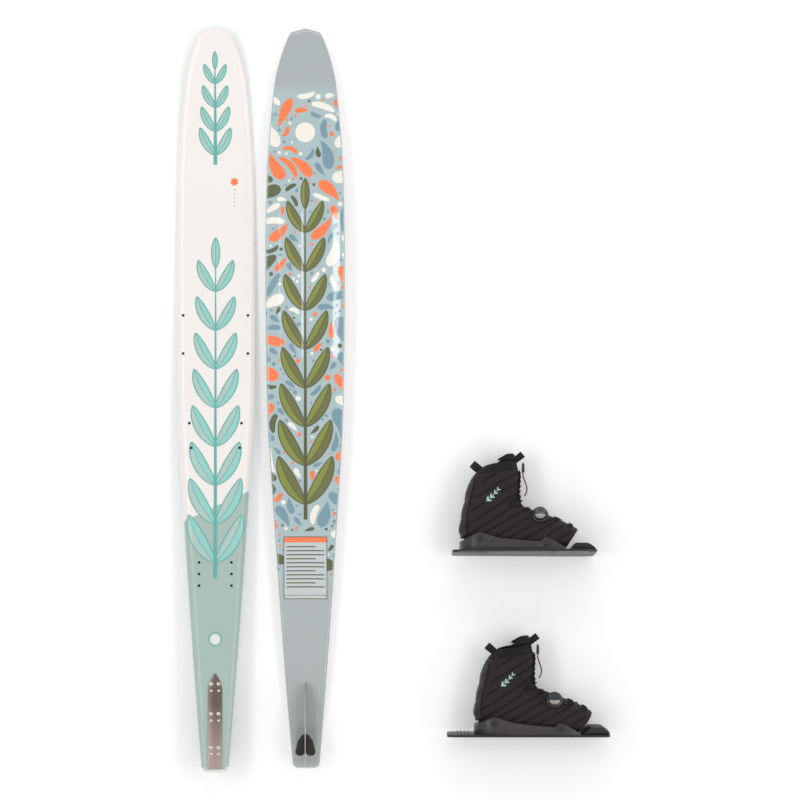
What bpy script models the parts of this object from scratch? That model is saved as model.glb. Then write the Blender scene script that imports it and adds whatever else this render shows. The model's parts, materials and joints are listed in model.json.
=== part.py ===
# A pair of slalom water skis, one deck up and one base up, with a front and a rear open-toe boot,
# all laid out on a flat surface. Lengths in this file are millimetres, turned to metres by MM.
import bpy
import bmesh
from math import asin, atan2, copysign, cos, pi, radians, sin, sqrt
from mathutils import Matrix, Vector

MM = 0.001
GAP = 0.3                      # between touching pieces

# Ski
SKI_LENGTH = 1651.0
SKI_OUTLINE = [(13, 30.5), (120, 39.5), (335, 55.6), (600, 73.3), (780, 84.0), (1000, 87.9),
               (1140, 88.4), (1270, 86.8), (1360, 83.4), (1450, 76.6), (1537, 66.8), (1582, 56.2),
               (1624, 41.7), (1641, 33.5)]                    # from the tail, half width
SKI_THICKNESS = [(0, 9.0), (220, 12.0), (500, 16.0), (800, 17.5), (1100, 15.0), (1400, 10.5), (1651, 7.5)]
TAIL_RADIUS = 13.0
TIP_PEAK = 10.0
TIP_ROCKER, TIP_ROCKER_FROM = 55.0, 900.0
TAIL_ROCKER, TAIL_ROCKER_TO = 10.0, 480.0
TUNNEL_DEPTH = 2.6
SHOULDER = 11.0
SKIN = 1.2
STATION_PITCH = 100.0
INSERT_ROWS = [(1015, 72), (930, 72), (775, 58), (720, 54), (465.5, 36), (440, 36), (414, 36)]
INSERT_BORE = 2.9
INSERT_BORE_DEPTH = 14.0
INSERT_PLATE = (398.0, 1032.0)
INSERT_PLATE_THICKNESS = 5.0
INSERT_PLATE_DEPTH = 3.2       # its top, below the deck

# Fin group
FIN_PLATE = (8.0, 219.0)
FIN_PLATE_HALF = 15.5
FIN_PLATE_THICKNESS = 2.5
FIN_BLOCK = (22.0, 188.0)
FIN_BLOCK_HALF = 6.5
FIN_TAB = (30.0, 180.0)
FIN_MIDDLE = 100.0
PLATE_CORNER, PLATE_ARCH = 6.0, 38.0
FIN_HALF = 1.0
FIN_DEPTH = 62.0
FIN_SLIDE = 5.0
WING_AXIS = (66.0, -34.0)      # along the ski, below the base at the tail block
WING_HALF_SPAN = 23.0
WING_CHORD = 50.0

# Boot: rings fanned from the toe opening, round the heel, up to the collar.
# sole or heel point (x, z), instep or shin point (x, z), half width
BOOT_RINGS = [((250, 10), (279, 53), 50.0), ((222, 10), (257, 66), 52.0), ((190, 10), (228, 79), 51.0),
              ((155, 10), (199, 91), 48.0), ((118, 10), (175, 100), 44.0), ((82, 11), (159, 107), 41.0),
              ((48, 15), (153, 116), 39.5), ((28, 28), (150, 128), 40.0), ((18.5, 47), (149.5, 140), 41.5),
              ((20, 68), (150, 152), 43.5), ((24.5, 92), (150.3, 163), 46.0), ((30, 118), (150.6, 173), 48.5),
              ((36.5, 144), (149, 181), 50.5), ((45, 170), (147, 186.5), 52.0), ((66, 192), (143, 206), 47.0),
              ((76, 207), (139, 223), 43.0)]
CUFF_RING, COLLAR_RING, TONGUE_RING = 13.0, 14.0, 15.0
ROUNDNESS = 2.25
FACET_ROOM = 0.8               # more room where flats of one piece face flats of another
SHELL = 3.0
LINER_OUTSIDE, LINER_INSIDE = -4.5, -9.5
THROAT_HALF = [(0, 13), (5, 18), (13, 20), (15, 22)]
TONGUE_HINGE_RING = 5.2
DIAL_AT = (193.0, 83.5)
DIAL_LEAN = radians(20)
DIAL_FACE = 46.0               # from the boot's middle plane to the dial's base face
DIAL_BASE_RADIUS, DIAL_KNOB_RADIUS, DIAL_HUB_RADIUS = 18.0, 14.7, 5.0
DIAL_KNOB_HEIGHT = 11.0
DIAL_HUB_FOOT, DIAL_HUB_HEAD = 6.0, 6.0
BOLTS = [(61.0, 32.0), (206.0, 20.5)]
PLATE_THICKNESS = 5.0
RIB_START, RIB_PITCH, RIB_WIDTH, RIB_HEIGHT, RIB_HALF = 22.0, 8.0, 3.0, 2.5, 40.0
SLOT_RADIUS, SLOT_RUN = 3.6, 6.0
CHASSIS_SIDE = [(60, 44), (100, 47), (150, 52), (200, 56), (248, 57.5)]
CHASSIS_TOP = [(0, 24), (18, 26), (61, 44), (104, 31), (160, 25), (193, 23), (204, 32), (222, 26), (250, 9)]

# Boot plates: heel is how far the plate runs behind the boot's own zero, half its half width from
# tail to nose, rows the mount slots' places along it and off its middle line
PLATES = {
    "front_boot": {"length": 317.0, "heel": 0.0, "half": [(0, 60), (66, 66), (221, 79), (317, 79)], "ribs": 0,
                   "rows": [(306, 72), (221, 72), (66, 58), (11, 53)]},
    "rear_boot": {"length": 361.0, "heel": 44.0, "half": [(0, 48), (361, 48)], "ribs": 4,
                  "rows": [(341, 38), (130, 36), (12, 36)]},
}

# Where the four items lie on the surface: middle of each, and which way its own frame is turned
DECK_UP = Matrix.Identity(4)
BASE_UP = Matrix.Rotation(pi, 4, "Y")
ON_ITS_SIDE = Matrix.Rotation(-pi / 2, 4, "X")
LAYOUT = {"left_ski": (-410.5, 0.5, DECK_UP), "right_ski": (-210.3, 0.5, BASE_UP),
          "front_boot": (273.7, -230.3, ON_ITS_SIDE), "rear_boot": (284.8, -630.8, ON_ITS_SIDE)}

MATERIALS = {
    "foam_core": ((0.80, 0.74, 0.55), 0.9, 0.0), "deck_laminate": ((0.86, 0.83, 0.81), 0.25, 0.0),
    "base_laminate": ((0.43, 0.50, 0.51), 0.15, 0.0), "insert_alloy": ((0.45, 0.43, 0.40), 0.4, 1.0),
    "brushed_steel": ((0.58, 0.53, 0.49), 0.3, 1.0), "fin_alloy": ((0.30, 0.30, 0.31), 0.35, 1.0),
    "wing_black": ((0.02, 0.02, 0.02), 0.4, 0.0), "plate_black": ((0.045, 0.04, 0.035), 0.45, 0.0),
    "chassis_grey": ((0.11, 0.10, 0.09), 0.5, 0.0), "shell_fabric": ((0.028, 0.02, 0.02), 0.7, 0.0),
    "liner_foam": ((0.012, 0.011, 0.010), 0.85, 0.0), "footbed_foam": ((0.05, 0.05, 0.05), 0.9, 0.0),
    "rubber": ((0.02, 0.018, 0.017), 0.7, 0.0), "webbing": ((0.02, 0.02, 0.02), 0.8, 0.0),
    "dial_black": ((0.01, 0.01, 0.01), 0.2, 0.0), "dial_metal": ((0.55, 0.55, 0.55), 0.3, 1.0),
    "cord": ((0.015, 0.014, 0.014), 0.75, 0.0), "bolt_steel": ((0.25, 0.24, 0.23), 0.35, 1.0),
}


def clear_scene():
    for old in list(bpy.data.objects):
        bpy.data.objects.remove(old, do_unlink=True)


def material(name):
    found = bpy.data.materials.get(name)
    if found:
        return found
    colour, roughness, metallic = MATERIALS[name]
    made = bpy.data.materials.new(name)
    made.use_nodes = True
    shader = made.node_tree.nodes["Principled BSDF"]
    shader.inputs["Base Color"].default_value = (*colour, 1.0)
    shader.inputs["Roughness"].default_value = roughness
    shader.inputs["Metallic"].default_value = metallic
    return made


def empty(name):
    made = bpy.data.objects.new(name, None)
    bpy.context.scene.collection.objects.link(made)
    return made


def place(item, name, mesh, finish=None, origin=(0, 0, 0)):
    # mesh is in the item's frame; its origin moves to the given point, which is a moving piece's axis
    mesh.transform(Matrix.Translation(-Vector(origin)))
    mesh.transform(Matrix.Scale(MM, 4))
    made = bpy.data.objects.new(name, mesh)
    bpy.context.scene.collection.objects.link(made)
    made.parent = item
    made.location = Vector(origin) * MM
    if finish:
        mesh.materials.append(material(finish))
    else:
        made.hide_render = True
        made.display_type = "WIRE"
    return made


def boolean(target, cutter, operation="DIFFERENCE"):
    cut = target.modifiers.new(cutter.name, "BOOLEAN")
    cut.operation = operation
    cut.object = cutter
    cut.solver = "EXACT"


def bevel(target, width, segments=1, angle=40):
    # width in millimetres
    made = target.modifiers.new("edge", "BEVEL")
    made.width = width * MM
    made.segments = segments
    made.limit_method = "ANGLE"
    made.angle_limit = radians(angle)


def smooth(target, angle=35):
    target.data.shade_smooth()
    target.data.set_sharp_from_angle(angle=radians(angle))
    return target


def closed_mesh(name, points, faces):
    mesh = bpy.data.meshes.new(name)
    mesh.from_pydata([tuple(p) for p in points], [], faces)
    work = bmesh.new()
    work.from_mesh(mesh)
    bmesh.ops.recalc_face_normals(work, faces=work.faces)
    work.to_mesh(mesh)
    work.free()
    return mesh


def thick_sheet(name, outer, inner):
    # two grids of points, one row per station, joined round their rims into one closed wall
    rows, columns = len(outer), len(outer[0])
    points = [p for row in outer for p in row] + [p for row in inner for p in row]
    count = rows * columns
    at = lambda side, i, j: side * count + i * columns + j
    faces = []
    for side in (0, 1):
        for i in range(rows - 1):
            for j in range(columns - 1):
                faces.append((at(side, i, j), at(side, i + 1, j), at(side, i + 1, j + 1), at(side, i, j + 1)))
    for i in range(rows - 1):
        for j in (0, columns - 1):
            faces.append((at(0, i, j), at(0, i + 1, j), at(1, i + 1, j), at(1, i, j)))
    for j in range(columns - 1):
        for i in (0, rows - 1):
            faces.append((at(0, i, j), at(0, i, j + 1), at(1, i, j + 1), at(1, i, j)))
    return closed_mesh(name, points, faces)


def prism(name, outline, low, high, axis="z"):
    # an outline extruded along one axis; for axis y the outline is (x, z), for x it is (y, z)
    lifts = {"z": lambda u, v, h: (u, v, h), "y": lambda u, v, h: (u, h, v), "x": lambda u, v, h: (h, u, v)}
    lift = lifts[axis]
    count = len(outline)
    points = [lift(u, v, low) for u, v in outline] + [lift(u, v, high) for u, v in outline]
    faces = [tuple(range(count)), tuple(range(2 * count - 1, count - 1, -1))]
    faces += [(i, (i + 1) % count, count + (i + 1) % count, count + i) for i in range(count)]
    return closed_mesh(name, points, faces)


def box_mesh(name, low, high):
    return prism(name, [(low[0], low[1]), (high[0], low[1]), (high[0], high[1]), (low[0], high[1])],
                 low[2], high[2])


def turned(name, start, direction, profile, sides):
    # profile is (distance along direction, radius); both ends close on their own flat cap
    direction = Vector(direction).normalized()
    across = direction.orthogonal().normalized()
    up = direction.cross(across)
    start = Vector(start)
    points, faces = [], []
    for along, radius in profile:
        for k in range(sides):
            turn = 2 * pi * k / sides
            points.append(start + direction * along + (across * cos(turn) + up * sin(turn)) * radius)
    for i in range(len(profile) - 1):
        for k in range(sides):
            n = (k + 1) % sides
            faces.append((i * sides + k, i * sides + n, (i + 1) * sides + n, (i + 1) * sides + k))
    faces.append(tuple(range(sides)))
    faces.append(tuple(range((len(profile) - 1) * sides, len(profile) * sides)))
    return closed_mesh(name, points, faces)


def join_meshes(name, meshes):
    work = bmesh.new()
    for mesh in meshes:
        work.from_mesh(mesh)
    joined = bpy.data.meshes.new(name)
    work.to_mesh(joined)
    work.free()
    return joined


def tube(item, name, points, radius, finish, origin=(0, 0, 0)):
    curve = bpy.data.curves.new(name, "CURVE")
    curve.dimensions = "3D"
    curve.bevel_depth = radius * MM
    curve.bevel_resolution = 2
    curve.use_fill_caps = True
    spline = curve.splines.new("POLY")
    spline.points.add(len(points) - 1)
    for spot, point in zip(spline.points, points):
        spot.co = (*((Vector(point) - Vector(origin)) * MM), 1.0)
    made = bpy.data.objects.new(name, curve)
    bpy.context.scene.collection.objects.link(made)
    made.parent = item
    made.location = Vector(origin) * MM
    curve.materials.append(material(finish))
    return made


def strap(name, path, half_width, thickness):
    # a band that follows a path of (x, z) points, centred on the middle plane
    count = len(path)
    outer, inner = [], []
    for i, (x, z) in enumerate(path):
        ax, az = path[max(i - 1, 0)]
        bx, bz = path[min(i + 1, count - 1)]
        run = sqrt((bx - ax) ** 2 + (bz - az) ** 2)
        nx, nz = -(bz - az) / run * thickness / 2, (bx - ax) / run * thickness / 2
        outer.append([(x + nx, -half_width, z + nz), (x + nx, half_width, z + nz)])
        inner.append([(x - nx, -half_width, z - nz), (x - nx, half_width, z - nz)])
    return thick_sheet(name, outer, inner)


def through(knots, at):
    # a smooth value read from (position, value) knots
    if at <= knots[0][0]:
        return knots[0][1]
    if at >= knots[-1][0]:
        return knots[-1][1]
    k = max(i for i in range(len(knots) - 1) if knots[i][0] <= at)
    (x1, y1), (x2, y2) = knots[k], knots[k + 1]
    x0, y0 = knots[max(k - 1, 0)]
    x3, y3 = knots[min(k + 2, len(knots) - 1)]
    span = x2 - x1
    m1 = (y2 - y0) / (x2 - x0)
    m2 = (y3 - y1) / (x3 - x1)
    s = (at - x1) / span
    return ((2 * s**3 - 3 * s**2 + 1) * y1 + (s**3 - 2 * s**2 + s) * span * m1
            + (3 * s**2 - 2 * s**3) * y2 + (s**3 - s**2) * span * m2)


# The ski: x across, y from the tail to the tip, z up from the middle of the base

def ski_half_width(y):
    if y < TAIL_RADIUS:
        return SKI_OUTLINE[0][1] - TAIL_RADIUS + sqrt(TAIL_RADIUS**2 - (TAIL_RADIUS - y) ** 2)
    return through(SKI_OUTLINE, y)


def base_height(y):
    tip = max(0.0, (y - TIP_ROCKER_FROM) / (SKI_LENGTH - TIP_ROCKER_FROM))
    tail = max(0.0, (TAIL_ROCKER_TO - y) / TAIL_ROCKER_TO)
    return TIP_ROCKER * tip**2.3 + TAIL_ROCKER * tail**2


def deck_height(y):
    return base_height(y) + through(SKI_THICKNESS, y)


def edge_height(y):
    return base_height(y) + 0.42 * through(SKI_THICKNESS, y)


def tunnel(y):
    fade = min(1.0, y / 90.0, (SKI_LENGTH - y) / 400.0)
    return TUNNEL_DEPTH * max(0.0, fade)


def stations(low, high):
    count = max(2, round((high - low) / STATION_PITCH))
    return [low + (high - low) * i / count for i in range(count + 1)]


def ski_stations():
    tail = [0.0, 1.8, 6.0, TAIL_RADIUS]
    corner = SKI_OUTLINE[-1][0]
    tip = [1492.0, 1537.0, 1582.0, 1604.0, 1624.0, corner]
    return tail + stations(48.0, 1448.0) + tip


def tip_bow(x, y, half):
    # the tip's front edge rises to a low peak on the middle line
    near = max(0.0, 1 - (SKI_OUTLINE[-1][0] - y) / 45.0)
    return y + TIP_PEAK * near**2 * (1 - min(1.0, abs(x) / half)) ** 0.8


def ski_row(y, across):
    # across is (x, z) from the left edge to the right one
    half = ski_half_width(y)
    return [(x, tip_bow(x, y, half), z) for x, z in across]


def mirrored(half_row):
    # half_row starts on the middle line
    return [(-x, z) for x, z in half_row[:0:-1]] + half_row


def deck_line(y, inset):
    half = ski_half_width(y)
    flat = half - min(SHOULDER, 0.3 * half)
    top, edge = deck_height(y), edge_height(y)
    return mirrored([(0, top - inset), (flat - 0.4 * inset, top - inset), (half - 0.8 - 1.1 * inset, edge)])


def base_line(y, inset):
    half, low, dip = ski_half_width(y), base_height(y), tunnel(y)
    rail = 4.5 * half / 88
    return mirrored([(0, low + dip + inset), (0.3 * half, low + 0.82 * dip + inset),
                     (0.62 * half, low + 0.2 * dip + inset), (half - rail - inset, low + inset),
                     (half - inset, edge_height(y) - GAP)])


def core_lines(y):
    half = ski_half_width(y)
    flat = half - min(SHOULDER, 0.3 * half)
    rail = 4.5 * half / 88
    low, dip, clear = base_height(y), tunnel(y), SKIN + GAP
    side = edge_height(y) - GAP / 2
    roof = deck_height(y) - clear
    top = mirrored([(0, roof), (flat - 1.2, roof), (half - 3.4, side + 0.4)])
    bottom = mirrored([(0, low + dip + clear), (0.62 * half, low + 0.75 * dip + clear),
                       (half - rail - 2.6, low + clear + 0.5)])
    return top, bottom


def insert_bores(item, prefix):
    drills = []
    for y, x in INSERT_ROWS:
        for side in (-1, 1):
            foot = deck_height(y) - INSERT_PLATE_DEPTH - INSERT_PLATE_THICKNESS + 1.0
            profile = [(0, INSERT_BORE), (INSERT_BORE_DEPTH, INSERT_BORE)]
            drills.append(turned("bore", (side * x, y, foot), (0, 0, 1), profile, 6))
    return place(item, prefix + "_insert_bores", join_meshes("bores", drills))


def plate_in_core(y, margin):
    half = min(77.0, ski_half_width(y) - 10.0) + margin
    top = deck_height(y) - INSERT_PLATE_DEPTH
    low = top - INSERT_PLATE_THICKNESS - margin
    return half, low, top


def build_ski_body(item, prefix):
    ys = ski_stations()
    rows = lambda line, inset: [ski_row(y, line(y, inset)) for y in ys]
    top = place(item, prefix + "_top_skin", thick_sheet("top", rows(deck_line, 0), rows(deck_line, SKIN)),
                "deck_laminate")
    base = place(item, prefix + "_base_skin", thick_sheet("base", rows(base_line, 0), rows(base_line, SKIN)),
                 "base_laminate")
    inside = [y for y in ys if 2.0 < y < SKI_OUTLINE[-1][0]]
    core_rows = lambda side: [ski_row(y, core_lines(y)[side]) for y in inside]
    core = place(item, prefix + "_core", thick_sheet("core", core_rows(0), core_rows(1)), "foam_core")

    def slab(margin, lift):
        low_y, high_y = INSERT_PLATE[0] - margin, INSERT_PLATE[1] + margin
        upper, lower = [], []
        for y in stations(low_y, high_y):
            half, low, high = plate_in_core(y, margin)
            upper.append([(-half, y, high + lift), (half, y, high + lift)])
            lower.append([(-half, y, low), (half, y, low)])
        return thick_sheet("slab", upper, lower)

    plate = place(item, prefix + "_insert_plate", slab(0.0, 0.0), "insert_alloy")
    pocket = place(item, prefix + "_plate_pocket", slab(GAP, 9.0))
    bores = insert_bores(item, prefix)
    boolean(core, pocket)
    boolean(plate, bores)
    boolean(top, bores)
    room = FIN_BLOCK_HALF + GAP
    block = place(item, prefix + "_block_slot", box_mesh(
        "slot", (-room, FIN_BLOCK[0] - GAP, -20), (room, FIN_BLOCK[1] + GAP, 60)))
    boolean(core, block)
    boolean(top, block)
    clear = FIN_SLIDE + 1.0
    slit = place(item, prefix + "_fin_slot", box_mesh(
        "slot", (-FIN_HALF - 0.5, FIN_TAB[0] - clear, -20), (FIN_HALF + 0.5, FIN_TAB[1] + clear, 60)))
    boolean(base, slit)
    for part in (top, base, core):
        smooth(part, 30)


def fin_plate_half(y):
    # rounded rear corners and a pointed arch in front
    rear, front = y - FIN_PLATE[0], FIN_PLATE[1] - y
    half = FIN_PLATE_HALF
    if rear < PLATE_CORNER:
        half -= PLATE_CORNER - sqrt(PLATE_CORNER**2 - (PLATE_CORNER - rear) ** 2)
    if front < PLATE_ARCH:
        half *= max(0.03, sin(pi / 2 * front / PLATE_ARCH)) ** 0.8
    return half


def build_fin_group(item, prefix):
    rear, front = FIN_PLATE
    ys = [rear, rear + 1.5, rear + PLATE_CORNER] + stations(rear + 35, front - PLATE_ARCH)
    ys += [front - k for k in (28, 18, 10, 4, 0)]
    row = lambda y, z: [(side * fin_plate_half(y), y, z) for side in (-1, 0, 1)]
    wall = lambda lift: [row(y, deck_height(y) + lift) for y in ys]
    frame = place(item, prefix + "_fin_frame", thick_sheet(
        "fin_plate", wall(GAP + FIN_PLATE_THICKNESS), wall(GAP)), "brushed_steel")
    foot = max(base_height(y) + tunnel(y) for y in FIN_BLOCK) + SKIN + 2 * GAP
    head = deck_height(FIN_MIDDLE) + 1.2
    block = place(item, prefix + "_fin_block", box_mesh(
        "block", (-FIN_BLOCK_HALF, FIN_BLOCK[0], foot), (FIN_BLOCK_HALF, FIN_BLOCK[1], head)))
    boolean(frame, block, "UNION")
    clear = FIN_SLIDE + 1.0
    roof = deck_height(FIN_TAB[0]) - 1.0
    slit = place(item, prefix + "_block_slit", box_mesh(
        "slit", (-FIN_HALF - GAP, FIN_TAB[0] - clear, -20), (FIN_HALF + GAP, FIN_TAB[1] + clear, roof)))
    boolean(frame, slit)

    # fin blade: tab inside the block, then a swept blade under the base
    under = lambda y: base_height(y) - 0.6
    bottom = lambda share: base_height(FIN_MIDDLE) - FIN_DEPTH + 5.0 * share
    blade = [(FIN_TAB[0], under(FIN_TAB[0])), (FIN_TAB[0], roof - GAP - 0.7), (FIN_TAB[1], roof - GAP - 0.7),
             (FIN_TAB[1], under(FIN_TAB[1])), (195, under(195)), (190, -12), (176, -30), (152, -46),
             (122, bottom(0.4)), (84, bottom(0)), (48, bottom(0.3)), (26, -44), (14, -26), (8, under(8))]
    fin = place(item, prefix + "_fin", prism("blade", blade, -FIN_HALF, FIN_HALF, axis="x"), "fin_alloy",
                origin=(0, FIN_TAB[0], 0))
    hole = place(item, prefix + "_wing_hole", turned(
        "hole", (-5, *WING_AXIS), (1, 0, 0), [(0, 2.6), (10, 2.6)], 12))
    boolean(fin, hole)

    # wing: two blades on lugs either side of the fin, joined by their bolt through it
    inside = FIN_HALF + GAP
    lugs = []
    y0, z0 = WING_AXIS
    front, back = y0 + 0.4 * WING_CHORD, y0 - 0.6 * WING_CHORD
    cheek = [(y0 - 16, z0 + 2), (y0 - 12, z0 + 6), (y0 + 12, z0 + 6), (y0 + 16, z0 + 2), (y0 + 16, z0 - 5.5),
             (y0 - 16, z0 - 5.5)]
    for side in (-1, 1):
        lug = prism("lug", cheek, side * inside, side * (inside + 1.8), axis="x")
        outline = [(side * inside, front), (side * 8, front - 3), (side * 17, front - 16),
                   (side * WING_HALF_SPAN, back + 9), (side * 19, back + 2), (side * 9, back),
                   (side * inside, back + 6)]
        lugs += [lug, prism("blade", outline, z0 - 6.2, z0 - 4.4)]
    wide, shank, depth = 3.6, 2.1, 1.2
    length = 2 * inside + 6.0
    bolt = [(0, wide), (depth, wide), (depth + 0.01, shank), (length - depth - 0.01, shank),
            (length - depth, wide), (length, wide)]
    lugs.append(turned("bolt", (-length / 2, y0, z0), (1, 0, 0), bolt, 12))
    wing = place(item, prefix + "_wing", lugs[0], "wing_black", origin=(0, *WING_AXIS))
    for n, lug in enumerate(lugs[1:]):
        cutter = place(item, f"{prefix}_wing_piece_{n}", lug)
        boolean(wing, cutter, "UNION")


# The boot: x from heel to toe, y across, z up from under the plate; the dial is on the -y side

def ring_frame(ring):
    last = len(BOOT_RINGS) - 1
    read = lambda pick: through([(i, pick(r)) for i, r in enumerate(BOOT_RINGS)], min(max(ring, 0), last))
    back = Vector((read(lambda r: r[0][0]), read(lambda r: r[0][1])))
    front = Vector((read(lambda r: r[1][0]), read(lambda r: r[1][1])))
    half = (front - back).length / 2
    return (back + front) / 2, (front - back) / (2 * half), half, read(lambda r: r[2])


def ring_point(ring, angle, offset):
    # angle 0 is the instep or shin, 180 degrees the sole or heel
    centre, axis, half, width = ring_frame(ring)
    squared = ROUNDNESS + 0.8 * max(0.0, 1 - ring / 7) * (cos(angle) < 0)
    along = copysign(abs(cos(angle)) ** (2 / squared), cos(angle)) * (half + offset)
    across = copysign(abs(sin(angle)) ** (2 / squared), sin(angle)) * (width + offset)
    return (centre.x + axis.x * along, across, centre.y + axis.y * along)


def throat_angle(ring):
    width = ring_frame(ring)[3]
    return asin((through(THROAT_HALF, ring) / width) ** (ROUNDNESS / 2))


def ring_wall(name, rings, low, high, inner, outer, columns):
    # low and high give the first and last angle at a ring
    grid = lambda offset: [[ring_point(r, low(r) + (high(r) - low(r)) * j / columns, offset)
                            for j in range(columns + 1)] for r in rings]
    return thick_sheet(name, grid(outer), grid(inner))


def ring_solid(name, rings, offset, sides=20):
    points = [ring_point(r, 2 * pi * k / sides, offset) for r in rings for k in range(sides)]
    faces = [tuple(range(sides)), tuple(range((len(rings) - 1) * sides, len(rings) * sides))]
    for i in range(len(rings) - 1):
        for k in range(sides):
            n = (k + 1) % sides
            faces.append((i * sides + k, i * sides + n, (i + 1) * sides + n, (i + 1) * sides + k))
    return closed_mesh(name, points, faces)


def steps(low, high, count):
    return [low + (high - low) * i / count for i in range(count + 1)]


def plate_half(plate, x):
    half = through(plate["half"], x + plate["heel"])
    radius = 16.0
    edge = min(x + plate["heel"], plate["length"] - plate["heel"] - x)
    return half - (radius - sqrt(radius**2 - (radius - edge) ** 2) if edge < radius else 0)


def build_plate(item, prefix, plate):
    low, high = -plate["heel"], plate["length"] - plate["heel"]
    xs = [low, low + 2, low + 6, low + 16] + steps(low + 60, high - 60, 3) + [high - k for k in (16, 6, 2, 0)]
    row = lambda x, z: [(x, -plate_half(plate, x), z), (x, plate_half(plate, x), z)]
    made = place(item, prefix + "_base_plate", thick_sheet(
        "plate", [row(x, PLATE_THICKNESS) for x in xs], [row(x, 0) for x in xs]), "plate_black")
    for k in range(plate["ribs"]):
        x = low + RIB_START + RIB_PITCH * k
        rib = place(item, f"{prefix}_plate_rib_{k}", box_mesh(
            "rib", (x, -RIB_HALF, 2), (x + RIB_WIDTH, RIB_HALF, PLATE_THICKNESS + RIB_HEIGHT)))
        boolean(made, rib, "UNION")
    slots = []
    for x, y in plate["rows"]:
        for side in (-1, 1):
            outline = [(low + x + SLOT_RUN / 2 * copysign(1, cos(a)) + SLOT_RADIUS * cos(a),
                        side * y + SLOT_RADIUS * sin(a)) for a in (2 * pi * (k + 0.5) / 8 for k in range(8))]
            slots.append(prism("slot", outline, -3, 12))
    boolean(made, place(item, prefix + "_plate_slots", join_meshes("slots", slots)))


def build_chassis(item, prefix, foot):
    # a tray with a flat floor, cut to the boot's shape inside and to a waved line on top
    middle, radius = CHASSIS_SIDE[0]
    arc = [(middle - radius * sin(a), radius * cos(a)) for a in steps(0, pi, 10)]
    outline = arc + [(x, -y) for x, y in CHASSIS_SIDE[1:]] + CHASSIS_SIDE[:0:-1]
    block = prism("tray", outline, PLATE_THICKNESS + GAP, 50.0)
    tray = place(item, prefix + "_chassis", block, "chassis_grey")
    above = CHASSIS_TOP + [(260, 9), (260, 70), (-10, 70), (-10, 24)]
    boolean(tray, place(item, prefix + "_chassis_top", prism("above", above, -80, 80, axis="y")))
    boolean(tray, foot)
    for n, (x, z) in enumerate(BOLTS):
        bore = turned("bore", (x, -80, z), (0, 1, 0), [(0, 2.8), (160, 2.8)], 10)
        boolean(tray, place(item, f"{prefix}_bolt_bore_{n}", bore))
        for hand, side in (("dial_side", -1), ("far_side", 1)):
            wall = chassis_half(x)
            name = f"{prefix}_{('heel', 'toe')[n]}_bolt_{hand}"
            shank = [(0, 2.4), (wall_depth(x, z), 2.4), (wall_depth(x, z) + 0.01, 6.8),
                     (wall_depth(x, z) + 2.2, 6.8), (wall_depth(x, z) + 3.4, 4.6)]
            start = (x, side * (wall + GAP - wall_depth(x, z)), z)
            bolt = place(item, name, turned("bolt", start, (0, side, 0), shank, 10), "bolt_steel")
            smooth(bolt, 40)


def chassis_half(x):
    # the tray's outer face at the far edge of a bolt head
    return through(CHASSIS_SIDE, x + 7)


def wall_depth(x, z):
    # how thick the tray's side is at a bolt, less a gap to the boot inside it
    near = [ring_point(r, a, 0) for r in steps(0, 8, 40) for a in steps(pi / 2, pi, 30)]
    reach = max(p[1] for p in near if abs(p[0] - x) < 4 and abs(p[2] - z) < 4)
    return max(1.5, chassis_half(x) - reach - 2 * FACET_ROOM)


def build_upper_group(item, prefix):
    around = lambda margin: (lambda r: throat_angle(r) + margin, lambda r: 2 * pi - throat_angle(r) - margin)
    low, high = around(0.0)
    smooth(place(item, prefix + "_upper", ring_wall(
        "upper", steps(0, CUFF_RING, 13), low, high, -SHELL, 0, 12), "shell_fabric"), 60)
    low, high = around(radians(3))
    smooth(place(item, prefix + "_liner", ring_wall(
        "liner", [0.5] + steps(2, CUFF_RING, 11) + [COLLAR_RING], low, high, LINER_INSIDE, LINER_OUTSIDE, 12),
        "liner_foam"), 60)
    inside = place(item, prefix + "_liner_inside", ring_solid(
        "inside", [0.5] + steps(2, 8, 6), LINER_INSIDE - GAP - 1.6, 20))
    bed = box_mesh("footbed", (40, -60, 12), (236, 60, 24.5))
    footbed = place(item, prefix + "_footbed", bed, "footbed_foam")
    boolean(footbed, inside, "INTERSECT")
    narrow = radians(2.5)
    across = lambda trim: (lambda r: trim(r) - throat_angle(r), lambda r: throat_angle(r) - trim(r))
    low, high = across(lambda r: narrow)
    smooth(place(item, prefix + "_instep_gusset", ring_wall(
        "gusset", steps(0.4, TONGUE_HINGE_RING - 0.1, 6), low, high, -5.0, -1.0, 4), "liner_foam"), 60)
    tongue_half = lambda r: throat_angle(r) - narrow if r < COLLAR_RING + 0.15 else radians(72)
    rings = steps(TONGUE_HINGE_RING + 0.1, COLLAR_RING + 0.1, 8)
    rings += [COLLAR_RING + 0.2, TONGUE_RING - 0.35, TONGUE_RING]
    smooth(place(item, prefix + "_tongue", ring_wall(
        "tongue", rings, lambda r: -tongue_half(r), tongue_half, -6.5, -0.5, 6), "liner_foam",
        origin=tongue_axis()), 60)
    heel = radians(38)
    smooth(place(item, prefix + "_heel_stay", ring_wall(
        "heel_stay", [7.4] + steps(8, 12, 4) + [12.5], lambda r: pi - heel, lambda r: pi + heel, 0.9, 3.4, 5),
        "rubber"), 60)


def tongue_axis():
    x, y, z = ring_point(TONGUE_HINGE_RING, 0, 0)
    return (x, 0.0, z)


def build_loops(item, prefix):
    heel = [(38.8, 160), (42.0, 171), (37.5, 182), (34.5, 193), (38.5, 202), (47, 206.5), (56, 204.5),
            (62, 198), (63.2, 188.8)]
    smooth(place(item, prefix + "_heel_loop", strap("heel_loop", heel, 11, 1.8), "webbing"), 60)
    front = [(140.9, 221.5), (145, 227.5), (152, 229.5), (159, 226), (161, 218), (156.5, 209.5),
             (145.8, 205.5)]
    smooth(place(item, prefix + "_tongue_loop", strap("tongue_loop", front, 8, 1.6), "webbing",
                 origin=tongue_axis()), 60)


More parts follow.
